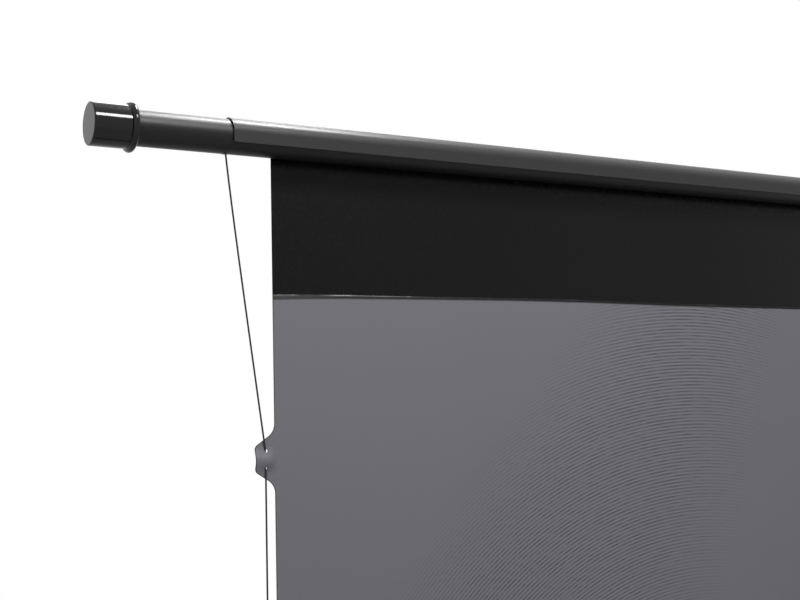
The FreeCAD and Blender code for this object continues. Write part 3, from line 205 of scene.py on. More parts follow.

# welded seam strips, which dip, widen and grow lighter towards the fabric's side edges, and have glints
# painted on their lifted lip
SEAM_HEIGHT = 0.0021
SEAM_WIDENING = 0.0018
SEAM_PROUD = 0.0003
SEAM_STEP = 0.002
SEAM_LIP = 0.0009
SEAM_WIDENING_REACH = 0.08
GLINTS_AND_SIDE_TONE = "glints_and_side_tone"
FILM_SHARE = 0.16
FILM_REACH = 0.18
EDGE_DIP = 0.0028
EDGE_DIP_REACH = 0.05
SEAM_WAVE = 0.0017
SEAM_WAVE_PLACE = 0.3
SEAM_WAVE_REACH = 0.15
SEAM_SWAY_FADE = 0.07
SWAY_SPAN = 2 * SEAM_WAVE_PLACE
SWAY_STEPS = 12
# the strip's section from its lower edge to its upper one: shares of its height, of how far it stands
# proud, of the lip's lift and of the glint painted there
SEAM_SECTION = (
    (0, 0, 0, 0),
    (0.05, 0.7, 0, 0),
    (0.14, 1, 0, 0),
    (0.55, 1, 0.6, 0),
    (0.75, 1, 1, 0.6),
    (0.9, 1, 0.85, 1),
    (0.97, 0.9, 0.6, 1),
    (1, 0.6, 0.4, 1),
    (1.03, 0, 0, 1),
)
# where the strip's upper lip has lifted, and where glints are painted on it: distance from the side edge,
# half length, share of the full lift
SEAM_LIFTS = (
    (0.007, 0.006, 0.25),
    (0.0197, 0.004, 0.35),
    (0.068, 0.012, 1),
    (0.105, 0.03, 0.45),
    (0.1375, 0.002, 0.5),
    (0.33, 0.012, 0.1),
    (0.52, 0.02, 0.08),
)

# light: the white surroundings, five lamps, and the floor that fades to white away from the screen
AMBIENT = 0.16
KEY_PLACE = (-0.76, -1.16, 2.34)
KEY_SIZE = (1.12, 0.34)
KEY_POWER = 21
HEART_PLACE = (-0.56, -1.13, 2.38)
HEART_SIZE = (0.2, 0.38)
HEART_POWER = 11
TOP_PLACE = (-0.525, 0.09, 2.317)
TOP_SIZE = (0.29, 0.38)
TOP_POWER = 26
BACK_PLACE = (-0.55, 1.25, 2.35)
BACK_SIZE = (1, 0.7)
BACK_POWER = 10
SIDE_PLACE = (-3.4, -2.2, 2.2)
SIDE_SIZE = (1.6, 1.6)
SIDE_POWER = 8
FLOOR_HALF = 30
FLOOR_CLEAR = 1.2
FLOOR_FADED = 3.0
FLOOR_WHITE_SHARE = 0.45


def arc(centre, radius, start, end, steps):
    """Points on an arc from one angle to another, in a plane's two coordinates."""
    angles = [start + (end - start) * step / steps for step in range(steps + 1)]
    return [(centre[0] + radius * math.cos(a), centre[1] + radius * math.sin(a)) for a in angles]


def rounded(corners):
    """A path through corners (x, z, radius), with each corner drawn as an arc."""
    path = []
    for i, (x, z, radius) in enumerate(corners):
        here = Vector((x, z))
        if not radius:
            path.append((x, z))
            continue
        back = (Vector(corners[i - 1][:2]) - here).normalized()
        ahead = (Vector(corners[(i + 1) % len(corners)][:2]) - here).normalized()
        half = back.angle(ahead) / 2
        centre = here + (back + ahead).normalized() * radius / math.sin(half)
        first = here + back * radius / math.tan(half) - centre
        last = here + ahead * radius / math.tan(half) - centre
        turn = math.pi - 2 * half
        if first.x * last.y - first.y * last.x < 0:
            turn = -turn
        start = math.atan2(first.y, first.x)
        path += arc(centre, radius, start, start + turn, CORNER_STEPS)
    return path


def screen_outline():
    """The picture surface's cut, with a row of tabs on each side edge."""
    right = [(HALF_WIDTH, PICTURE_LOW, 0)]
    for centre in reversed(TAB_CENTRES):
        right.append((HALF_WIDTH, centre - TAB_ROOT_DOWN, TAB_ROOT_ROUND))
        right.append((TAB_TIP, centre - TAB_OUTER_DOWN, TAB_TIP_ROUND))
        right.append((TAB_TIP, centre + TAB_OUTER_UP, TAB_TIP_ROUND))
        right.append((HALF_WIDTH, centre + TAB_ROOT_UP, TAB_ROOT_ROUND))
    right.append((HALF_WIDTH, PICTURE_HIGH, 0))
    left = [(-x, z, radius) for x, z, radius in reversed(right)]
    return rounded(right + left)


def oval(x, z, half_width, half_height):
    turns = [2 * math.pi * step / HOLE_STEPS for step in range(HOLE_STEPS)]
    return [(x + half_width * math.cos(a), z + half_height * math.sin(a)) for a in turns]


def tab_holes():
    """Two holes in each tab, near the cord's line, drawn long by the cord."""
    holes = []
    for side in (-1, 1):
        for centre in TAB_CENTRES:
            upper = side * (CORD_LINE - UPPER_HOLE_SHIFT)
            off = TAB_HOLE_HALF + HOLE_SPREAD
            holes.append(oval(upper, centre + off, *UPPER_HOLE))
            holes.append(oval(side * CORD_LINE, centre - off, *LOWER_HOLE))
    return holes


def filled(paths):
    """A flat face in the XZ plane, bounded by the first path and holed by the others."""
    curve = bpy.data.curves.new("cut", "CURVE")
    curve.dimensions = "2D"
    curve.fill_mode = "FRONT"
    for path in paths:
        spline = curve.splines.new("POLY")
        spline.points.add(len(path) - 1)
        for point, (x, z) in zip(spline.points, path):
            point.co = (x, z, 0, 1)
        spline.use_cyclic_u = True
    holder = bpy.data.objects.new("cut", curve)
    flat = bpy.data.meshes.new_from_object(holder)
    bpy.data.objects.remove(holder)
    made = bmesh.new()
    made.from_mesh(flat)
    bpy.data.meshes.remove(flat)
    for vertex in made.verts:
        vertex.co = Vector((vertex.co.x, 0, vertex.co.y))
    bmesh.ops.remove_doubles(made, verts=made.verts, dist=MERGE)
    bmesh.ops.dissolve_limit(made, angle_limit=FLAT_ANGLE, verts=made.verts, edges=made.edges)
    return made


def beside(path, distance):
    """A closed path moved to its left by a distance."""
    moved = []
    for i, place in enumerate(path):
        here = Vector(place)
        back = (here - Vector(path[i - 1])).normalized()
        ahead = (Vector(path[(i + 1) % len(path)]) - here).normalized()
        left = Vector((-back.y, back.x))
        between = (left + Vector((-ahead.y, ahead.x))).normalized()
        moved.append(tuple(here + between * distance / between.dot(left)))
    return moved


def rimmed(paths, inner_paths):
    """A flat sheet in the XZ plane, with a rim between each path and its inner path."""
    made = filled(inner_paths)
    for path, inner in zip(paths, inner_paths):
        pairs = [[made.verts.new((x, 0, z)) for x, z in ends] for ends in zip(path, inner)]
        for i, ends in enumerate(pairs):
            made.faces.new((*pairs[i - 1], *reversed(ends))).material_index = RIM_FACE
    bmesh.ops.remove_doubles(made, verts=made.verts, dist=MERGE)
    return made


def cut_at(made, place, normal):
    """Cut a sheet along a plane, to add points there."""
    geometry = [*made.faces, *made.edges, *made.verts]
    bmesh.ops.bisect_plane(made, geom=geometry, plane_co=place, plane_no=normal, dist=MERGE)


def smooth_step(start, end, value):
    share = min(max((value - start) / (end - start), 0), 1)
    return share * share * (3 - 2 * share)


def thickened(made, thickness):
    """Give a sheet its thickness towards the back; returns the back and side faces."""
    front = list(made.faces)
    copy = bmesh.ops.extrude_face_region(made, geom=front)["geom"]
    back = [item for item in copy if isinstance(item, bmesh.types.BMFace)]
    for vertex in {vertex for face in back for vertex in face.verts}:
        vertex.co.y += thickness
    fronts, backs = set(front), set(back)
    sides = [face for face in made.faces if face not in fronts and face not in backs]
    bmesh.ops.recalc_face_normals(made, faces=made.faces)
    return back, sides


def mesh_object(name, made, materials):
    mesh = bpy.data.meshes.new(name)
    made.to_mesh(mesh)
    made.free()
    for material in materials:
        mesh.materials.append(material)
    mesh.shade_smooth()
    piece = bpy.data.objects.new(name, mesh)
    bpy.context.scene.collection.objects.link(piece)
    return piece


def hang(piece, node):
    """Stand for a soft solid, riding on the base, in place of its frame node."""
    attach(piece, "base")
    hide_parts(node)
    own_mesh(piece)


class Finish:
    """A material whose colour, gloss and relief come from noise in the object's own space."""

    def __init__(self, name, colour, roughness, metallic=0.0, specular=0.5):
        self.material = bpy.data.materials.new(name)
        self.material.use_nodes = True
        self.tree = self.material.node_tree
        self.shader = self.tree.nodes["Principled BSDF"]
        self.shader.inputs["Base Color"].default_value = (*colour, 1)
        self.shader.inputs["Roughness"].default_value = roughness
        self.shader.inputs["Metallic"].default_value = metallic
        self.shader.inputs["Specular IOR Level"].default_value = specular
        self.place = self.tree.nodes.new("ShaderNodeTexCoord").outputs["Object"]
        self.normal = None

    def link(self, start, end):
        self.tree.links.new(start, end)

    def noise(self, scale, detail=3.0, stretch=(1, 1, 1)):
        mapping = self.tree.nodes.new("ShaderNodeMapping")
        mapping.inputs["Scale"].default_value = stretch
        texture = self.tree.nodes.new("ShaderNodeTexNoise")
        texture.inputs["Scale"].default_value = scale
        texture.inputs["Detail"].default_value = detail
        self.link(self.place, mapping.inputs["Vector"])
        self.link(mapping.outputs["Vector"], texture.inputs["Vector"])
        return texture.outputs["Fac"]

    def ramp(self, factor, low, high, start=0.35, end=0.65):
        """A value that goes from low to high as the factor goes from start to end."""
        span = self.tree.nodes.new("ShaderNodeMapRange")
        span.inputs["From Min"].default_value = start
        span.inputs["From Max"].default_value = end
        span.inputs["To Min"].default_value = low
        span.inputs["To Max"].default_value = high
        self.link(factor, span.inputs["Value"])
        return span.outputs["Result"]

    def folded(self):
        """The place, with the screen's left half laid over its right half."""
        fold = self.tree.nodes.new("ShaderNodeVectorMath")
        fold.operation = "ABSOLUTE"
        self.link(self.place, fold.inputs[0])
        return fold.outputs["Vector"]

    def along(self, place, direction):
        """How far a place lies along a direction."""
        dot = self.tree.nodes.new("ShaderNodeVectorMath")
        dot.operation = "DOT_PRODUCT"
        dot.inputs[1].default_value = direction
        self.link(place, dot.inputs[0])
        return dot.outputs["Value"]

    def rings(self, place, centre, pitch):
        """Waves from none to one along rings about a line through the centre, square to the fabric."""
        mapping = self.tree.nodes.new("ShaderNodeMapping")
        mapping.vector_type = "TEXTURE"
        mapping.inputs["Location"].default_value = centre
        wave = self.tree.nodes.new("ShaderNodeTexWave")
        wave.wave_type = "RINGS"
        wave.rings_direction = "Y"
        wave.inputs["Scale"].default_value = math.pi / (RING_RATE * pitch)
        self.link(place, mapping.inputs["Vector"])
        self.link(mapping.outputs["Vector"], wave.inputs["Vector"])
        return wave.outputs["Fac"]

    def attribute(self, name):
        """A value kept with the mesh."""
        kept = self.tree.nodes.new("ShaderNodeAttribute")
        kept.attribute_name = name
        return kept.outputs["Fac"]

    def edge_wear(self, radius):
        """From none on faces to one along edges, rubbed in patches."""
        turned = self.tree.nodes.new("ShaderNodeBevel")
        turned.inputs["Radius"].default_value = radius
        flat = self.tree.nodes.new("ShaderNodeNewGeometry")
        same = self.tree.nodes.new("ShaderNodeVectorMath")
        same.operation = "DOT_PRODUCT"
        self.link(turned.outputs["Normal"], same.inputs[0])
        self.link(flat.outputs["Normal"], same.inputs[1])
        rubbed = self.ramp(same.outputs["Value"], 1, 0, start=0.82, end=0.97)
        return self.product(rubbed, self.ramp(self.noise(70), 0, 1, start=0.42, end=0.62))

    def soften(self, radius):
        """Let the light run over sharp edges as over a small round."""
        turned = self.tree.nodes.new("ShaderNodeBevel")
        turned.inputs["Radius"].default_value = radius
        self.normal = turned.outputs["Normal"]
        self.link(self.normal, self.shader.inputs["Normal"])

    def product(self, first, second):
        times = self.tree.nodes.new("ShaderNodeMath")
        times.operation = "MULTIPLY"
        self.link(first, times.inputs[0])
        self.link(second, times.inputs[1])
        return times.outputs[0]

    def mix(self, factor, first, second):
        """A colour between two, each a colour or another node's output."""
        blend = self.tree.nodes.new("ShaderNodeMix")
        blend.data_type = "RGBA"
        self.link(factor, blend.inputs[0])
        for socket, colour in ((blend.inputs[6], first), (blend.inputs[7], second)):
            if isinstance(colour, tuple):
                socket.default_value = (*colour, 1)
            else:
                self.link(colour, socket)
        return blend.outputs[2]

    def brightened(self, colour, share):
        """A colour made brighter, or darker, by a share of itself."""
        times = self.tree.nodes.new("ShaderNodeMath")
        times.operation = "ADD"
        times.inputs[1].default_value = 1
        self.link(share, times.inputs[0])
        scaled = self.tree.nodes.new("ShaderNodeVectorMath")
        scaled.operation = "SCALE"
        self.link(colour, scaled.inputs[0])
        self.link(times.outputs[0], scaled.inputs["Scale"])
        return scaled.outputs["Vector"]

    def paint(self, colour):
        self.link(colour, self.shader.inputs["Base Color"])

    def gloss(self, factor, low, high):
        self.link(self.ramp(factor, low, high), self.shader.inputs["Roughness"])

    def relief(self, height, strength, depth):
        bump = self.tree.nodes.new("ShaderNodeBump")
        bump.inputs["Strength"].default_value = strength
        bump.inputs["Distance"].default_value = depth
        self.link(height, bump.inputs["Height"])
        if self.normal is not None:
            self.link(self.normal, bump.inputs["Normal"])
        self.normal = bump.outputs["Normal"]
        self.link(self.normal, self.shader.inputs["Normal"])


def gloss_plastic():
    """Polished black moulding of the bar's end caps."""
    finish = Finish("gloss_black_plastic", (0.008, 0.008, 0.009), 0.1, specular=0.2)
    patches = finish.noise(22)
    finish.paint(finish.mix(patches, (0.006, 0.006, 0.007), (0.010, 0.010, 0.011)))
    finish.gloss(finish.noise(12), 0.09, 0.11)
    return finish.material


def grained_plastic():
    """Black moulding with a fine spark-eroded grain, rubbed smooth along its edges."""
    finish = Finish("black_plastic", (0.02, 0.02, 0.021), 0.45, specular=0.4)
    finish.soften(EDGE_ROUND)
    tone = finish.mix(finish.noise(14), (0.016, 0.016, 0.017), (0.026, 0.026, 0.027))
    finish.paint(finish.mix(finish.edge_wear(EDGE_ROUND), tone, (0.05, 0.05, 0.052)))
    finish.gloss(finish.noise(40), 0.38, 0.52)
    finish.relief(finish.noise(1300, detail=2.0), 0.25, GRAIN_RELIEF)
    return finish.material


def powder_coat(name, colour, roughness, grain):
    """Baked paint with an orange-peel surface, thin and rubbed along its edges."""
    finish = Finish(name, colour, roughness, specular=0.4)
    finish.soften(EDGE_ROUND)
    lighter = tuple(1.35 * channel for channel in colour)
    worn = tuple(3.2 * channel for channel in colour)
    tone = finish.mix(finish.noise(9), colour, lighter)
    finish.paint(finish.mix(finish.edge_wear(EDGE_ROUND), tone, worn))
    finish.gloss(finish.noise(35), roughness - 0.05, roughness + 0.05)
    finish.relief(finish.noise(grain, detail=2.0), 0.16, GRAIN_RELIEF)
    return finish.material


def tube_paint():
    """Satin black of the bar's round tube."""
    finish = Finish("black_tube_paint", (0.007, 0.007, 0.008), 0.4, specular=0.2)
    drawn = finish.noise(30, stretch=(0.06, 1, 1))
    finish.paint(finish.mix(drawn, (0.006, 0.006, 0.007), (0.009, 0.009, 0.010)))
    finish.gloss(finish.noise(60, stretch=(0.1, 1, 1)), 0.38, 0.43)
    finish.relief(finish.noise(700, detail=1.0), 0.06, GRAIN_RELIEF)
    return finish.material


def anodised_rail():
    """Black anodised extrusion, with faint lines drawn along it by the die."""
    finish = Finish("black_rail", (0.025, 0.025, 0.026), 0.4, specular=0.16)
    lines = finish.noise(420, stretch=(0.004, 1, 1))
    finish.paint(finish.mix(lines, (0.023, 0.023, 0.024), (0.027, 0.027, 0.028)))
    finish.gloss(finish.noise(50, stretch=(0.05, 1, 1)), 0.37, 0.43)
    finish.relief(lines, 0.06, FINE_RELIEF)
    return finish.material


def anodised_arm():
    """Dark grey anodised bar of the folding support, brighter where its edges have rubbed."""
    finish = Finish("arm_aluminium", (0.12, 0.12, 0.125), 0.4, metallic=1.0)
    finish.soften(EDGE_ROUND)
    tone = finish.mix(finish.noise(18), (0.105, 0.105, 0.11), (0.15, 0.15, 0.155))
    finish.paint(finish.mix(finish.edge_wear(EDGE_ROUND), tone, (0.3, 0.3, 0.31)))
    finish.gloss(finish.noise(70), 0.34, 0.46)
    finish.relief(finish.noise(900, detail=1.0), 0.05, FINE_RELIEF)
    return finish.material


def bare_metal(name, colour, roughness):
    """Turned or drawn metal with a cloudy plated surface."""
    finish = Finish(name, colour, roughness, metallic=1.0)
    darker = tuple(0.78 * channel for channel in colour)
    finish.paint(finish.mix(finish.noise(45), darker, colour))
    finish.gloss(finish.noise(160), roughness - 0.07, roughness + 0.1)
    finish.relief(finish.noise(800, detail=1.0), 0.08, FINE_RELIEF)
    return finish.material


def nylon():
    """Natural white nylon of the washers, the feet's mounts and the spring's anchor."""
    finish = Finish("nylon", (0.74, 0.72, 0.66), 0.48)
    finish.paint(finish.mix(finish.noise(60), (0.66, 0.64, 0.57), (0.78, 0.76, 0.70)))
    finish.gloss(finish.noise(120), 0.42, 0.55)
    finish.shader.inputs["Subsurface Weight"].default_value = 0.15
    finish.shader.inputs["Subsurface Radius"].default_value = NYLON_GLOW
    return finish.material


def rubber():
    """Dull black rubber, a little dusty."""
    finish = Finish("rubber", (0.022, 0.022, 0.022), 0.8, specular=0.25)
    finish.paint(finish.mix(finish.noise(55), (0.018, 0.018, 0.018), (0.045, 0.044, 0.042)))
    finish.gloss(finish.noise(90), 0.72, 0.9)
    finish.relief(finish.noise(1500), 0.3, GRAIN_RELIEF)
    return finish.material


def grey_coating():
    """Grey picture coating, with the sheen and shade of fine broken ribs painted in its colour, in arcs
    about a point in each half.
    """
    finish = Finish("grey_fabric", (0.134, 0.132, 0.149), 0.6, specular=0.25)
    bands = finish.noise(5, detail=2.0, stretch=(1, 1, 0.15))
    tone = finish.mix(bands, (0.130, 0.128, 0.145), (0.138, 0.136, 0.153))
    place = finish.folded()
    rings = finish.rings(place, RIB_CENTRE, RIB_PITCH)
    # painted sheen and shade: light and dark arcs in the colour, shown only in a slanted band
    rib_sheen = finish.ramp(rings, RIB_SHEEN_SHARE, RIB_SHADE_SHARE, start=0, end=1)
    for direction, none, full in (RIB_OUTER_SIDE, RIB_INNER_SIDE):
        rib_sheen = finish.product(rib_sheen, finish.ramp(finish.along(place, direction), 0, 1, start=none, end=full))
    dashes = finish.ramp(finish.noise(55, detail=1.0, stretch=(1, 1, 4.5)), RIB_FAINT, RIB_STRONG)
    finish.paint(finish.brightened(tone, finish.product(rib_sheen, dashes)))
    finish.gloss(finish.noise(800, detail=1.0), 0.55, 0.68)
    finish.relief(finish.noise(1800, detail=1.0), 0.12, FINE_RELIEF)
    return finish.material


def black_coating(name, colour, specular, roughness):
    """Black coated fabric with the fine grain of its weave."""
    finish = Finish(name, colour, roughness, specular=specular)
    lighter = tuple(1.5 * channel for channel in colour)
    finish.paint(finish.mix(finish.noise(6), colour, lighter))
    finish.gloss(finish.noise(300), roughness - 0.08, roughness + 0.08)
    finish.relief(finish.noise(1500, detail=1.0, stretch=(1, 1, 0.5)), 0.2, FINE_RELIEF)
    return finish.material


def cut_edge_and_hole_shade():
    """The heat-cut rim of the fabric, where the black core shows; around the tab holes the dark ring is
    also painted shade.
    """
    finish = Finish("cut_edge_and_hole_shade", (0.055, 0.055, 0.06), 0.55, specular=0.3)
    finish.paint(finish.mix(finish.noise(500), (0.04, 0.04, 0.044), (0.075, 0.074, 0.08)))
    finish.relief(finish.noise(900), 0.2, FINE_RELIEF)
    return finish.material


def weld_strip():
    """Smooth plastic film of the welded seam, lighter towards the side edges, with glints painted in its
    colour where its lip has lifted.
    """
    finish = Finish("seam", (0.005, 0.005, 0.006), 0.3, specular=0.12)
    tone = finish.mix(finish.noise(35), (0.004, 0.004, 0.005), (0.007, 0.007, 0.008))
    # painted glints: light grey mixed into the colour along the lifted lip in place of the lamp's
    # reflection, plus a lighter tone towards the side edges
    finish.paint(finish.mix(finish.attribute(GLINTS_AND_SIDE_TONE), tone, (0.3, 0.3, 0.31)))
    finish.gloss(finish.noise(90), 0.18, 0.36)
    finish.relief(finish.noise(260, detail=2.0, stretch=(0.4, 1, 1)), 0.25, WRINKLE_RELIEF)
    return finish.material


def braid():
    """Black braided cord, with the broken grain of its strands."""
    finish = Finish("cord", (0.012, 0.012, 0.013), 0.6, specular=0.25)
    strands = finish.noise(1900, detail=1.0, stretch=(1, 1, 0.6))
    finish.paint(finish.mix(strands, (0.006, 0.006, 0.007), (0.02, 0.02, 0.022)))
    finish.relief(strands, 0.6, FINE_RELIEF)
    return finish.material


FINISHES = {
    "gloss_black_plastic": gloss_plastic(),
    "black_plastic": grained_plastic(),
    "black_tube_paint": tube_paint(),
    "black_rail": anodised_rail(),
    "black_case": powder_coat("black_case", (0.017, 0.017, 0.018), 0.42, 700),
    "arm_aluminium": anodised_arm(),
    "black_plate": powder_coat("black_plate", (0.02, 0.02, 0.02), 0.45, 900),
    "black_plastic_foot": powder_coat("foot_coat", (0.021, 0.021, 0.022), 0.5, 600),
    "pin_steel": bare_metal("pin_steel", (0.56, 0.56, 0.57), 0.3),
    "roller_aluminium": bare_metal("roller_aluminium", (0.6, 0.6, 0.61), 0.35),
    "bronze": bare_metal("bronze", (0.5, 0.36, 0.19), 0.4),
    "nylon": nylon(),
    "rubber": rubber(),
    "grey_fabric": grey_coating(),
    "black_fabric": black_coating("black_fabric", (0.003, 0.003, 0.0033), 0.1, 0.27),
    "seam": weld_strip(),
    "cord": braid(),
}
BLACK_BACK = black_coating("black_back", (0.014, 0.014, 0.0145), 0.2, 0.7)
RIM_AND_HOLE_SHADE = cut_edge_and_hole_shade()


def dress_frame():
    """Give every solid of the frame its finish. The grommets in the bar are black."""
    for name, node in nodes.items():
        node.data.materials.clear()
        node.data.materials.append(FINISHES[slot_of[name]])
    nodes["cord_grommets"].data.materials[0] = FINISHES["black_plastic"]


def solids_of(node):
    """The points of each separate solid of a node, from left to right and from low to high."""
    made = bmesh.new()
    made.from_mesh(nodes[node].data)
    bmesh.ops.remove_doubles(made, verts=made.verts, dist=MERGE)
    left, solids = set(made.verts), []
    while left:
        todo, points = [left.pop()], []
        while todo:
            vertex = todo.pop()
            points.append(vertex.co.copy())
            near = {edge.other_vert(vertex) for edge in vertex.link_edges} & left
            left -= near
            todo += near
        solids.append(sorted(points, key=tuple))
    made.free()
    return sorted(solids, key=lambda points: tuple(points[0]))


def end_of(points, axis):
    """The middle and radius of the round face at a solid's end."""
    reach = max(point.dot(axis) for point in points)
    face = [point for point in points if reach - point.dot(axis) < END_DEPTH]
    low = Vector(min(point[i] for point in face) for i in range(3))
    high = Vector(max(point[i] for point in face) for i in range(3))
    return (low + high) / 2, max(high - low) / 2


def add_head(made, place, axis, radius, shape, rise):
    """A closed round head on an end, with its rings joined from the middle outwards."""
    across = axis.orthogonal().normalized()
    up = axis.cross(across)
    rings = []
    for out, high, hexagon in shape[1:]:
        ring = []
        for step in range(HEAD_STEPS):
            angle = 2 * math.pi * step / HEAD_STEPS
            corner = math.cos(angle % (math.pi / 3) - math.pi / 6) if hexagon else 1
            spoke = (across * math.cos(angle) + up * math.sin(angle)) * radius * out / corner
            ring.append(made.verts.new(place + spoke + axis * rise * high))
        rings.append(ring)
    middle = made.verts.new(place + axis * rise * shape[0][1])
    for i in range(HEAD_STEPS):
        made.faces.new((middle, rings[0][i - 1], rings[0][i]))
        for inner, outer in zip(rings, rings[1:]):
            made.faces.new((inner[i - 1], outer[i - 1], outer[i], inner[i]))
    made.faces.new(rings[-1])


def make_heads():
    """Turned heads on the pins, and heads with hexagon sockets on the screws."""
    body_of = {node: body for body, held in frame["record"]["behaviour"]["bodies"].items() for node in held}
    for node, sideways, shape, rise in HEADS:
        made = bmesh.new()
        for points in solids_of(node):
            axis = Vector((math.copysign(1, points[0].x), 0, 0)) if sideways else Vector((0, 1, 0))
            place, radius = end_of(points, axis)
            add_head(made, place, axis, radius, shape, rise)
        bmesh.ops.recalc_face_normals(made, faces=made.faces)
        piece = mesh_object(f"{node}_heads", made, [FINISHES[slot_of[node]]])
        piece.data.set_sharp_from_angle(angle=SHARP_ANGLE)
        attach(piece, body_of[node])


def make_camera():
    lens = bpy.data.cameras.new("camera")
    lens.lens = CAMERA_LENS
    lens.clip_start = CAMERA_NEAR
    camera = bpy.data.objects.new("camera", lens)
    camera.location = (CAMERA_X, BAR_PLANE + CAMERA_Y, BAR_HEIGHT - CAMERA_DROP)
    turn = Euler((math.pi / 2 + CAMERA_PITCH, 0, -CAMERA_HEADING)).to_matrix()
    camera.rotation_euler = (turn @ Euler((0, 0, CAMERA_ROLL)).to_matrix()).to_euler()
    bpy.context.scene.collection.objects.link(camera)
    bpy.context.scene.camera = camera


def cord_route(side):
    """Down from the tube, then in and out of each tab's two holes, to the spool."""
    line, front, behind = side * CORD_LINE, FABRIC_PLANE - CORD_STEP, FABRIC_PLANE + CORD_STEP
    hole = side * CORD_HOLE_X
    outlet = BAR_HEIGHT - TUBE_RADIUS
    points = [(hole, BAR_PLANE, CORD_TOP), (hole, BAR_PLANE, outlet)]
    for number, centre in enumerate(TAB_CENTRES):
        upper, lower = centre + TAB_HOLE_HALF, centre - TAB_HOLE_HALF
        out = 0 if number else side * FIRST_LEAD_OUT
        points.append((line + out, front, upper + CORD_SWING + CORD_LEAD))
        points.append((line, front, upper + CORD_SWING))
        points.append((line, behind, upper - CORD_SWING))
        points.append((line, behind, lower + CORD_SWING))
        points.append((line, front, lower - CORD_SWING))
        points.append((line, front, lower - CORD_SWING - CORD_LEAD))
    points.append((line, front, ROLLER_HEIGHT))
    return points


def spline_points(route):
    """Points on the smooth line that the route's points steer."""
    curve = bpy.data.curves.new("route", "CURVE")
    curve.dimensions = "3D"
    curve.resolution_u = CORD_FINENESS
    spline = curve.splines.new("NURBS")
    spline.points.add(len(route) - 1)
    for point, place in zip(spline.points, route):
        point.co = (*place, 1)
    spline.order_u = 3
    spline.use_endpoint_u = True
    holder = bpy.data.objects.new("route", curve)
    line = bpy.data.meshes.new_from_object(holder)
    points = [vertex.co.copy() for vertex in line.vertices]
    bpy.data.objects.remove(holder)
    bpy.data.meshes.remove(line)
    return points


def tube_along(points, radius, sides):
    """A closed round tube whose rings are square to the line."""
    made = bmesh.new()
    rings = []
    across = Vector((1, 0, 0))
    for i, point in enumerate(points):
        ahead = (points[min(i + 1, len(points) - 1)] - points[max(i - 1, 0)]).normalized()
        across = (across - ahead * across.dot(ahead)).normalized()
        up = ahead.cross(across)
        turns = [2 * math.pi * step / sides for step in range(sides)]
        spokes = [across * math.cos(a) + up * math.sin(a) for a in turns]
        rings.append([made.verts.new(point + spoke * radius) for spoke in spokes])
    for first, second in zip(rings, rings[1:]):
        for i in range(sides):
            made.faces.new((first[i - 1], first[i], second[i], second[i - 1]))
    made.faces.new(reversed(rings[0]))
    made.faces.new(rings[-1])
    bmesh.ops.recalc_face_normals(made, faces=made.faces)
    return made


def make_cords():
    for side, name in ((-1, "tension_cord_left"), (1, "tension_cord_right")):
        line = spline_points(cord_route(side))
        piece = mesh_object(f"{name}_braid", tube_along(line, CORD_RADIUS, CORD_SIDES), [FINISHES["cord"]])
        hang(piece, name)


def tab_bow(point):
    """How far a point of the picture surface stands forward, where the cord bows a tab."""
    nearest = min(TAB_CENTRES, key=lambda centre: abs(centre - point.z))
    along = (point.z - nearest + TAB_BOW_LOW) / TAB_BOW_HALF
    if abs(along) >= 1:
        return 0
    reach = abs(point.x)
    outward = smooth_step(HALF_WIDTH - TAB_BOW_START, HALF_WIDTH + TAB_BOW_FULL, reach)
    fall = 1 - TIP_FALL_SHARE * smooth_step(CORD_LINE, TAB_TIP, reach)
    return TAB_BOW * outward * fall * math.cos(math.pi / 2 * along) ** 2


def seam_sway(x):
    """How far a welded seam stands above its straight line: it dips at the fabric's side edges."""
    inward = HALF_WIDTH - abs(x)
    dip = EDGE_DIP * math.exp(-inward / EDGE_DIP_REACH)
    return SEAM_WAVE * math.exp(-(((inward - SEAM_WAVE_PLACE) / SEAM_WAVE_REACH) ** 2)) - dip


def sway(made, seam):
    """Move a sheet's points near a seam with the seam."""
    for vertex in made.verts:
        near = 1 - smooth_step(0, SEAM_SWAY_FADE, abs(vertex.co.z - seam))
        vertex.co.z += near * seam_sway(vertex.co.x)


def sway_columns():
    """Cuts across the fabric that let it follow the seam, closer together near the side edges."""
    inward = [SWAY_SPAN * (step / SWAY_STEPS) ** 2 for step in range(1, SWAY_STEPS)]
    return [side * (HALF_WIDTH - step) for side in (-1, 1) for step in inward]


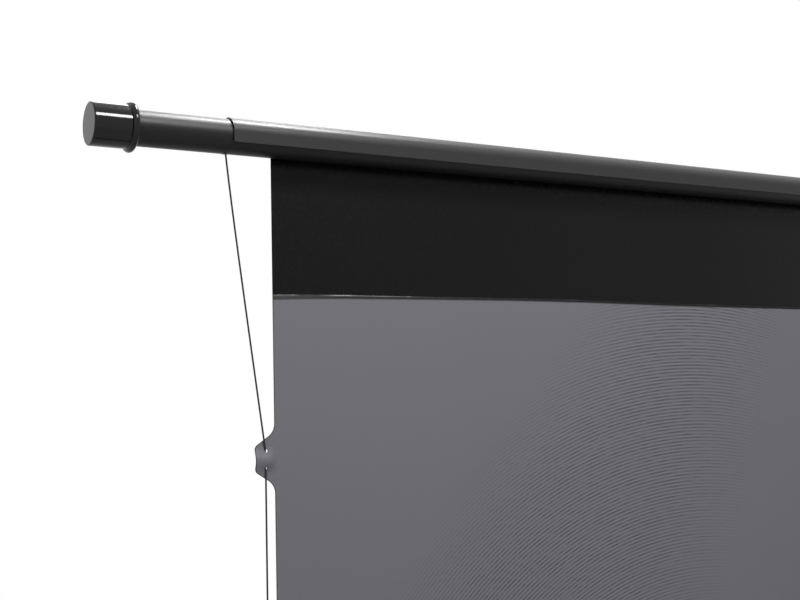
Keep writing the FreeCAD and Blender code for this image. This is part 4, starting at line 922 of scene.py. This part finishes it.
def make_screen():
    """The grey picture surface: grey in front, black behind, with bowed tabs."""
    outline, holes = screen_outline(), tab_holes()
    # a dark rim along the cut and around each hole; around the holes it is painted shade
    inner_paths = [beside(outline, RIM_WIDTH), *[beside(hole, -RIM_WIDTH) for hole in holes]]
    made = rimmed([outline, *holes], inner_paths)
    inner = HALF_WIDTH - 2 * TAB_BOW_START
    columns = [inner + step * TAB_GRID for step in range(int((TAB_TIP - inner) / TAB_GRID) + 1)]
    for x in [*columns, *[-column for column in columns], *sway_columns()]:
        cut_at(made, (x, 0, 0), (1, 0, 0))
    rows = math.ceil((TAB_BOW_HALF + TAB_BOW_LOW) / TAB_GRID)
    for centre in TAB_CENTRES:
        for row in range(-rows, rows + 1):
            cut_at(made, (0, 0, centre + row * TAB_GRID), (0, 0, 1))
    for edge in (PICTURE_LOW + SEAM_SWAY_FADE, PICTURE_HIGH - SEAM_SWAY_FADE):
        cut_at(made, (0, 0, edge), (0, 0, 1))
    for vertex in made.verts:
        vertex.co.y = FABRIC_FRONT - tab_bow(vertex.co)
    sway(made, PICTURE_HIGH)
    bmesh.ops.dissolve_degenerate(made, dist=SHORT_EDGE, edges=made.edges)
    loose = [edge for edge in made.edges if edge.is_wire]
    bmesh.ops.delete(made, geom=loose, context="EDGES")
    back, sides = thickened(made, FABRIC_THICKNESS)
    for face in back:
        face.material_index = BACK_FACE
    for face in sides:
        face.material_index = RIM_FACE
    piece = mesh_object("picture_surface", made, [FINISHES["grey_fabric"], BLACK_BACK, RIM_AND_HOLE_SHADE])
    piece.data.set_sharp_from_angle(angle=SHARP_ANGLE)
    for face in piece.data.polygons:
        face.use_smooth = abs(face.normal.y) < FLAT_NORMAL
    hang(piece, "grey_screen")


def make_band(name, node, low, high):
    """A plain black band of fabric above or below the picture. The upper one follows its seam."""
    outline = [(-HALF_WIDTH, low), (HALF_WIDTH, low), (HALF_WIDTH, high), (-HALF_WIDTH, high)]
    made = filled([outline])
    for x in sway_columns():
        cut_at(made, (x, 0, 0), (1, 0, 0))
    cut_at(made, (0, 0, PICTURE_HIGH + SEAM_SWAY_FADE), (0, 0, 1))
    for vertex in made.verts:
        vertex.co.y = FABRIC_FRONT
    sway(made, PICTURE_HIGH)
    back, _ = thickened(made, FABRIC_THICKNESS)
    for face in back:
        face.material_index = BACK_FACE
    piece = mesh_object(name, made, [FINISHES["black_fabric"], BLACK_BACK])
    piece.data.set_sharp_from_angle(angle=SHARP_ANGLE)
    hang(piece, node)


def lip_lift(x):
    """How far the strip's upper lip has come away, from none to one."""
    inward = HALF_WIDTH - abs(x)
    return sum(share * math.exp(-(((inward - place) / half) ** 2)) for place, half, share in SEAM_LIFTS)


def make_seam(name, node, line, swayed):
    """A welded strip across the join, with a soft upper lip that has lifted in places."""
    made = bmesh.new()
    glints_and_side_tone = made.verts.layers.float.new(GLINTS_AND_SIDE_TONE)
    steps = int(2 * HALF_WIDTH / SEAM_STEP)
    rows = []
    for step in range(steps + 1):
        x = -HALF_WIDTH + 2 * HALF_WIDTH * step / steps
        low = line + (seam_sway(x) if swayed else 0)
        inward = HALF_WIDTH - abs(x)
        tall = SEAM_HEIGHT + SEAM_WIDENING * math.exp(-inward / SEAM_WIDENING_REACH)
        film = FILM_SHARE * math.exp(-inward / FILM_REACH)
        lift = lip_lift(x)
        row = []
        for up, out, lifted, white in SEAM_SECTION:
            forward = SEAM_PROUD * out + SEAM_LIP * lift * lifted
            row.append(made.verts.new((x, FABRIC_FRONT - forward, low + tall * up)))
            # kept value: painted glint on the lifted lip, and the lighter tone towards the side edges
            row[-1][glints_and_side_tone] = film + lift * white
        rows.append(row)
    for first, second in zip(rows, rows[1:]):
        for i in range(len(SEAM_SECTION)):
            made.faces.new((first[i - 1], second[i - 1], second[i], first[i]))
    made.faces.new(rows[0])
    made.faces.new(reversed(rows[-1]))
    bmesh.ops.recalc_face_normals(made, faces=made.faces)
    piece = mesh_object(name, made, [FINISHES["seam"]])
    piece.data.set_sharp_from_angle(angle=SHARP_ANGLE)
    hang(piece, node)


def make_roll():
    """Fabric wound on the roller, turn over turn, with its free end leaving towards the back."""
    low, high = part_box("fabric_roll")
    centre = (low + high) / 2
    inner, outer = (roller_high.z - roller_low.z) / 2, (high.z - low.z) / 2
    made = bmesh.new()
    steps = ROLL_TURNS * ROLL_STEPS
    rings = []
    for step in range(steps + 1):
        angle = 2 * math.pi * step / ROLL_STEPS
        radius = inner + ROLL_CLEAR + (outer - inner - FABRIC_THICKNESS - 2 * ROLL_CLEAR) * step / steps
        ring = []
        for x in (low.x, high.x):
            for r in (radius, radius + FABRIC_THICKNESS):
                place = (x, centre.y + r * math.cos(angle), centre.z + r * math.sin(angle))
                ring.append(made.verts.new(place))
        rings.append([ring[0], ring[1], ring[3], ring[2]])
    for first, second in zip(rings, rings[1:]):
        for i in range(len(first)):
            made.faces.new((first[i - 1], first[i], second[i], second[i - 1]))
    made.faces.new(reversed(rings[0]))
    made.faces.new(rings[-1])
    bmesh.ops.recalc_face_normals(made, faces=made.faces)
    piece = mesh_object("wound_fabric", made, [FINISHES["black_fabric"]])
    piece.data.set_sharp_from_angle(angle=SHARP_ANGLE)
    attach(piece, "roller")
    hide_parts("fabric_roll")


def make_fabric():
    make_screen()
    make_band("top_band", "black_top_drop", drop_low.z, drop_high.z)
    make_band("bottom_band", "bottom_leader", leader_low.z, leader_high.z)
    make_seam("top_seam_strip", "top_weld_seam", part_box("top_weld_seam")[0].z, True)
    make_seam("bottom_seam_strip", "bottom_weld_seam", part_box("bottom_weld_seam")[0].z, False)
    make_roll()


def make_lamp(name, place, size, power, target):
    lamp = bpy.data.lights.new(name, "AREA")
    lamp.shape = "RECTANGLE"
    lamp.size, lamp.size_y = size
    lamp.energy = power
    holder = bpy.data.objects.new(name, lamp)
    holder.visible_camera = False
    holder.location = place
    holder.rotation_euler = (Vector(target) - Vector(place)).to_track_quat("-Z", "Y").to_euler()
    bpy.context.scene.collection.objects.link(holder)


def seen_directly(tree):
    """One for what the eye sees directly, in a reflection or through glass, and none for other light."""
    path = tree.nodes.new("ShaderNodeLightPath")
    seen = path.outputs["Is Camera Ray"]
    for name in ("Is Glossy Ray", "Is Transmission Ray"):
        either = tree.nodes.new("ShaderNodeMath")
        either.operation = "MAXIMUM"
        tree.links.new(seen, either.inputs[0])
        tree.links.new(path.outputs[name], either.inputs[1])
        seen = either.outputs[0]
    return seen


def make_world():
    """White to the eye and to reflections, and a softer light on everything else."""
    world = bpy.data.worlds.new("studio")
    bpy.context.scene.world = world
    world.use_nodes = True
    tree = world.node_tree
    light = tree.nodes["Background"]
    light.inputs["Color"].default_value = (1, 1, 1, 1)
    light.inputs["Strength"].default_value = AMBIENT
    white = tree.nodes.new("ShaderNodeBackground")
    white.inputs["Color"].default_value = (1, 1, 1, 1)
    choice = tree.nodes.new("ShaderNodeMixShader")
    tree.links.new(seen_directly(tree), choice.inputs[0])
    tree.links.new(light.outputs[0], choice.inputs[1])
    tree.links.new(white.outputs[0], choice.inputs[2])
    tree.links.new(choice.outputs[0], tree.nodes["World Output"].inputs["Surface"])


def make_floor():
    """A pale floor that turns into the white background away from the screen."""
    made = bmesh.new()
    bmesh.ops.create_grid(made, x_segments=1, y_segments=1, size=FLOOR_HALF)
    finish = Finish("floor", (0.8, 0.8, 0.8), 0.7, specular=0.2)
    finish.paint(finish.mix(finish.noise(3), (0.78, 0.78, 0.78), (0.82, 0.82, 0.82)))
    tree = finish.tree
    distance = tree.nodes.new("ShaderNodeVectorMath")
    distance.operation = "LENGTH"
    finish.link(finish.place, distance.inputs[0])
    far = distance.outputs["Value"]
    fade = finish.ramp(far, FLOOR_WHITE_SHARE, 1, start=FLOOR_CLEAR, end=FLOOR_FADED)
    white = tree.nodes.new("ShaderNodeEmission")
    choice = tree.nodes.new("ShaderNodeMixShader")
    finish.link(finish.product(fade, seen_directly(tree)), choice.inputs[0])
    finish.link(finish.shader.outputs[0], choice.inputs[1])
    finish.link(white.outputs[0], choice.inputs[2])
    finish.link(choice.outputs[0], tree.nodes["Material Output"].inputs["Surface"])
    mesh_object("floor", made, [finish.material])


def make_studio():
    corner = (-HALF_WIDTH, BAR_PLANE, BAR_HEIGHT)
    make_world()
    make_floor()
    make_lamp("key", KEY_PLACE, KEY_SIZE, KEY_POWER, corner)
    make_lamp("key_heart", HEART_PLACE, HEART_SIZE, HEART_POWER, corner)
    make_lamp("top", TOP_PLACE, TOP_SIZE, TOP_POWER, (TOP_PLACE[0], BAR_PLANE, BAR_HEIGHT))
    make_lamp("back", BACK_PLACE, BACK_SIZE, BACK_POWER, corner)
    make_lamp("side", SIDE_PLACE, SIDE_SIZE, SIDE_POWER, corner)


make_camera()
dress_frame()
make_cords()
make_fabric()
make_heads()
make_studio()
bpy.context.scene.view_settings.view_transform = "Standard"
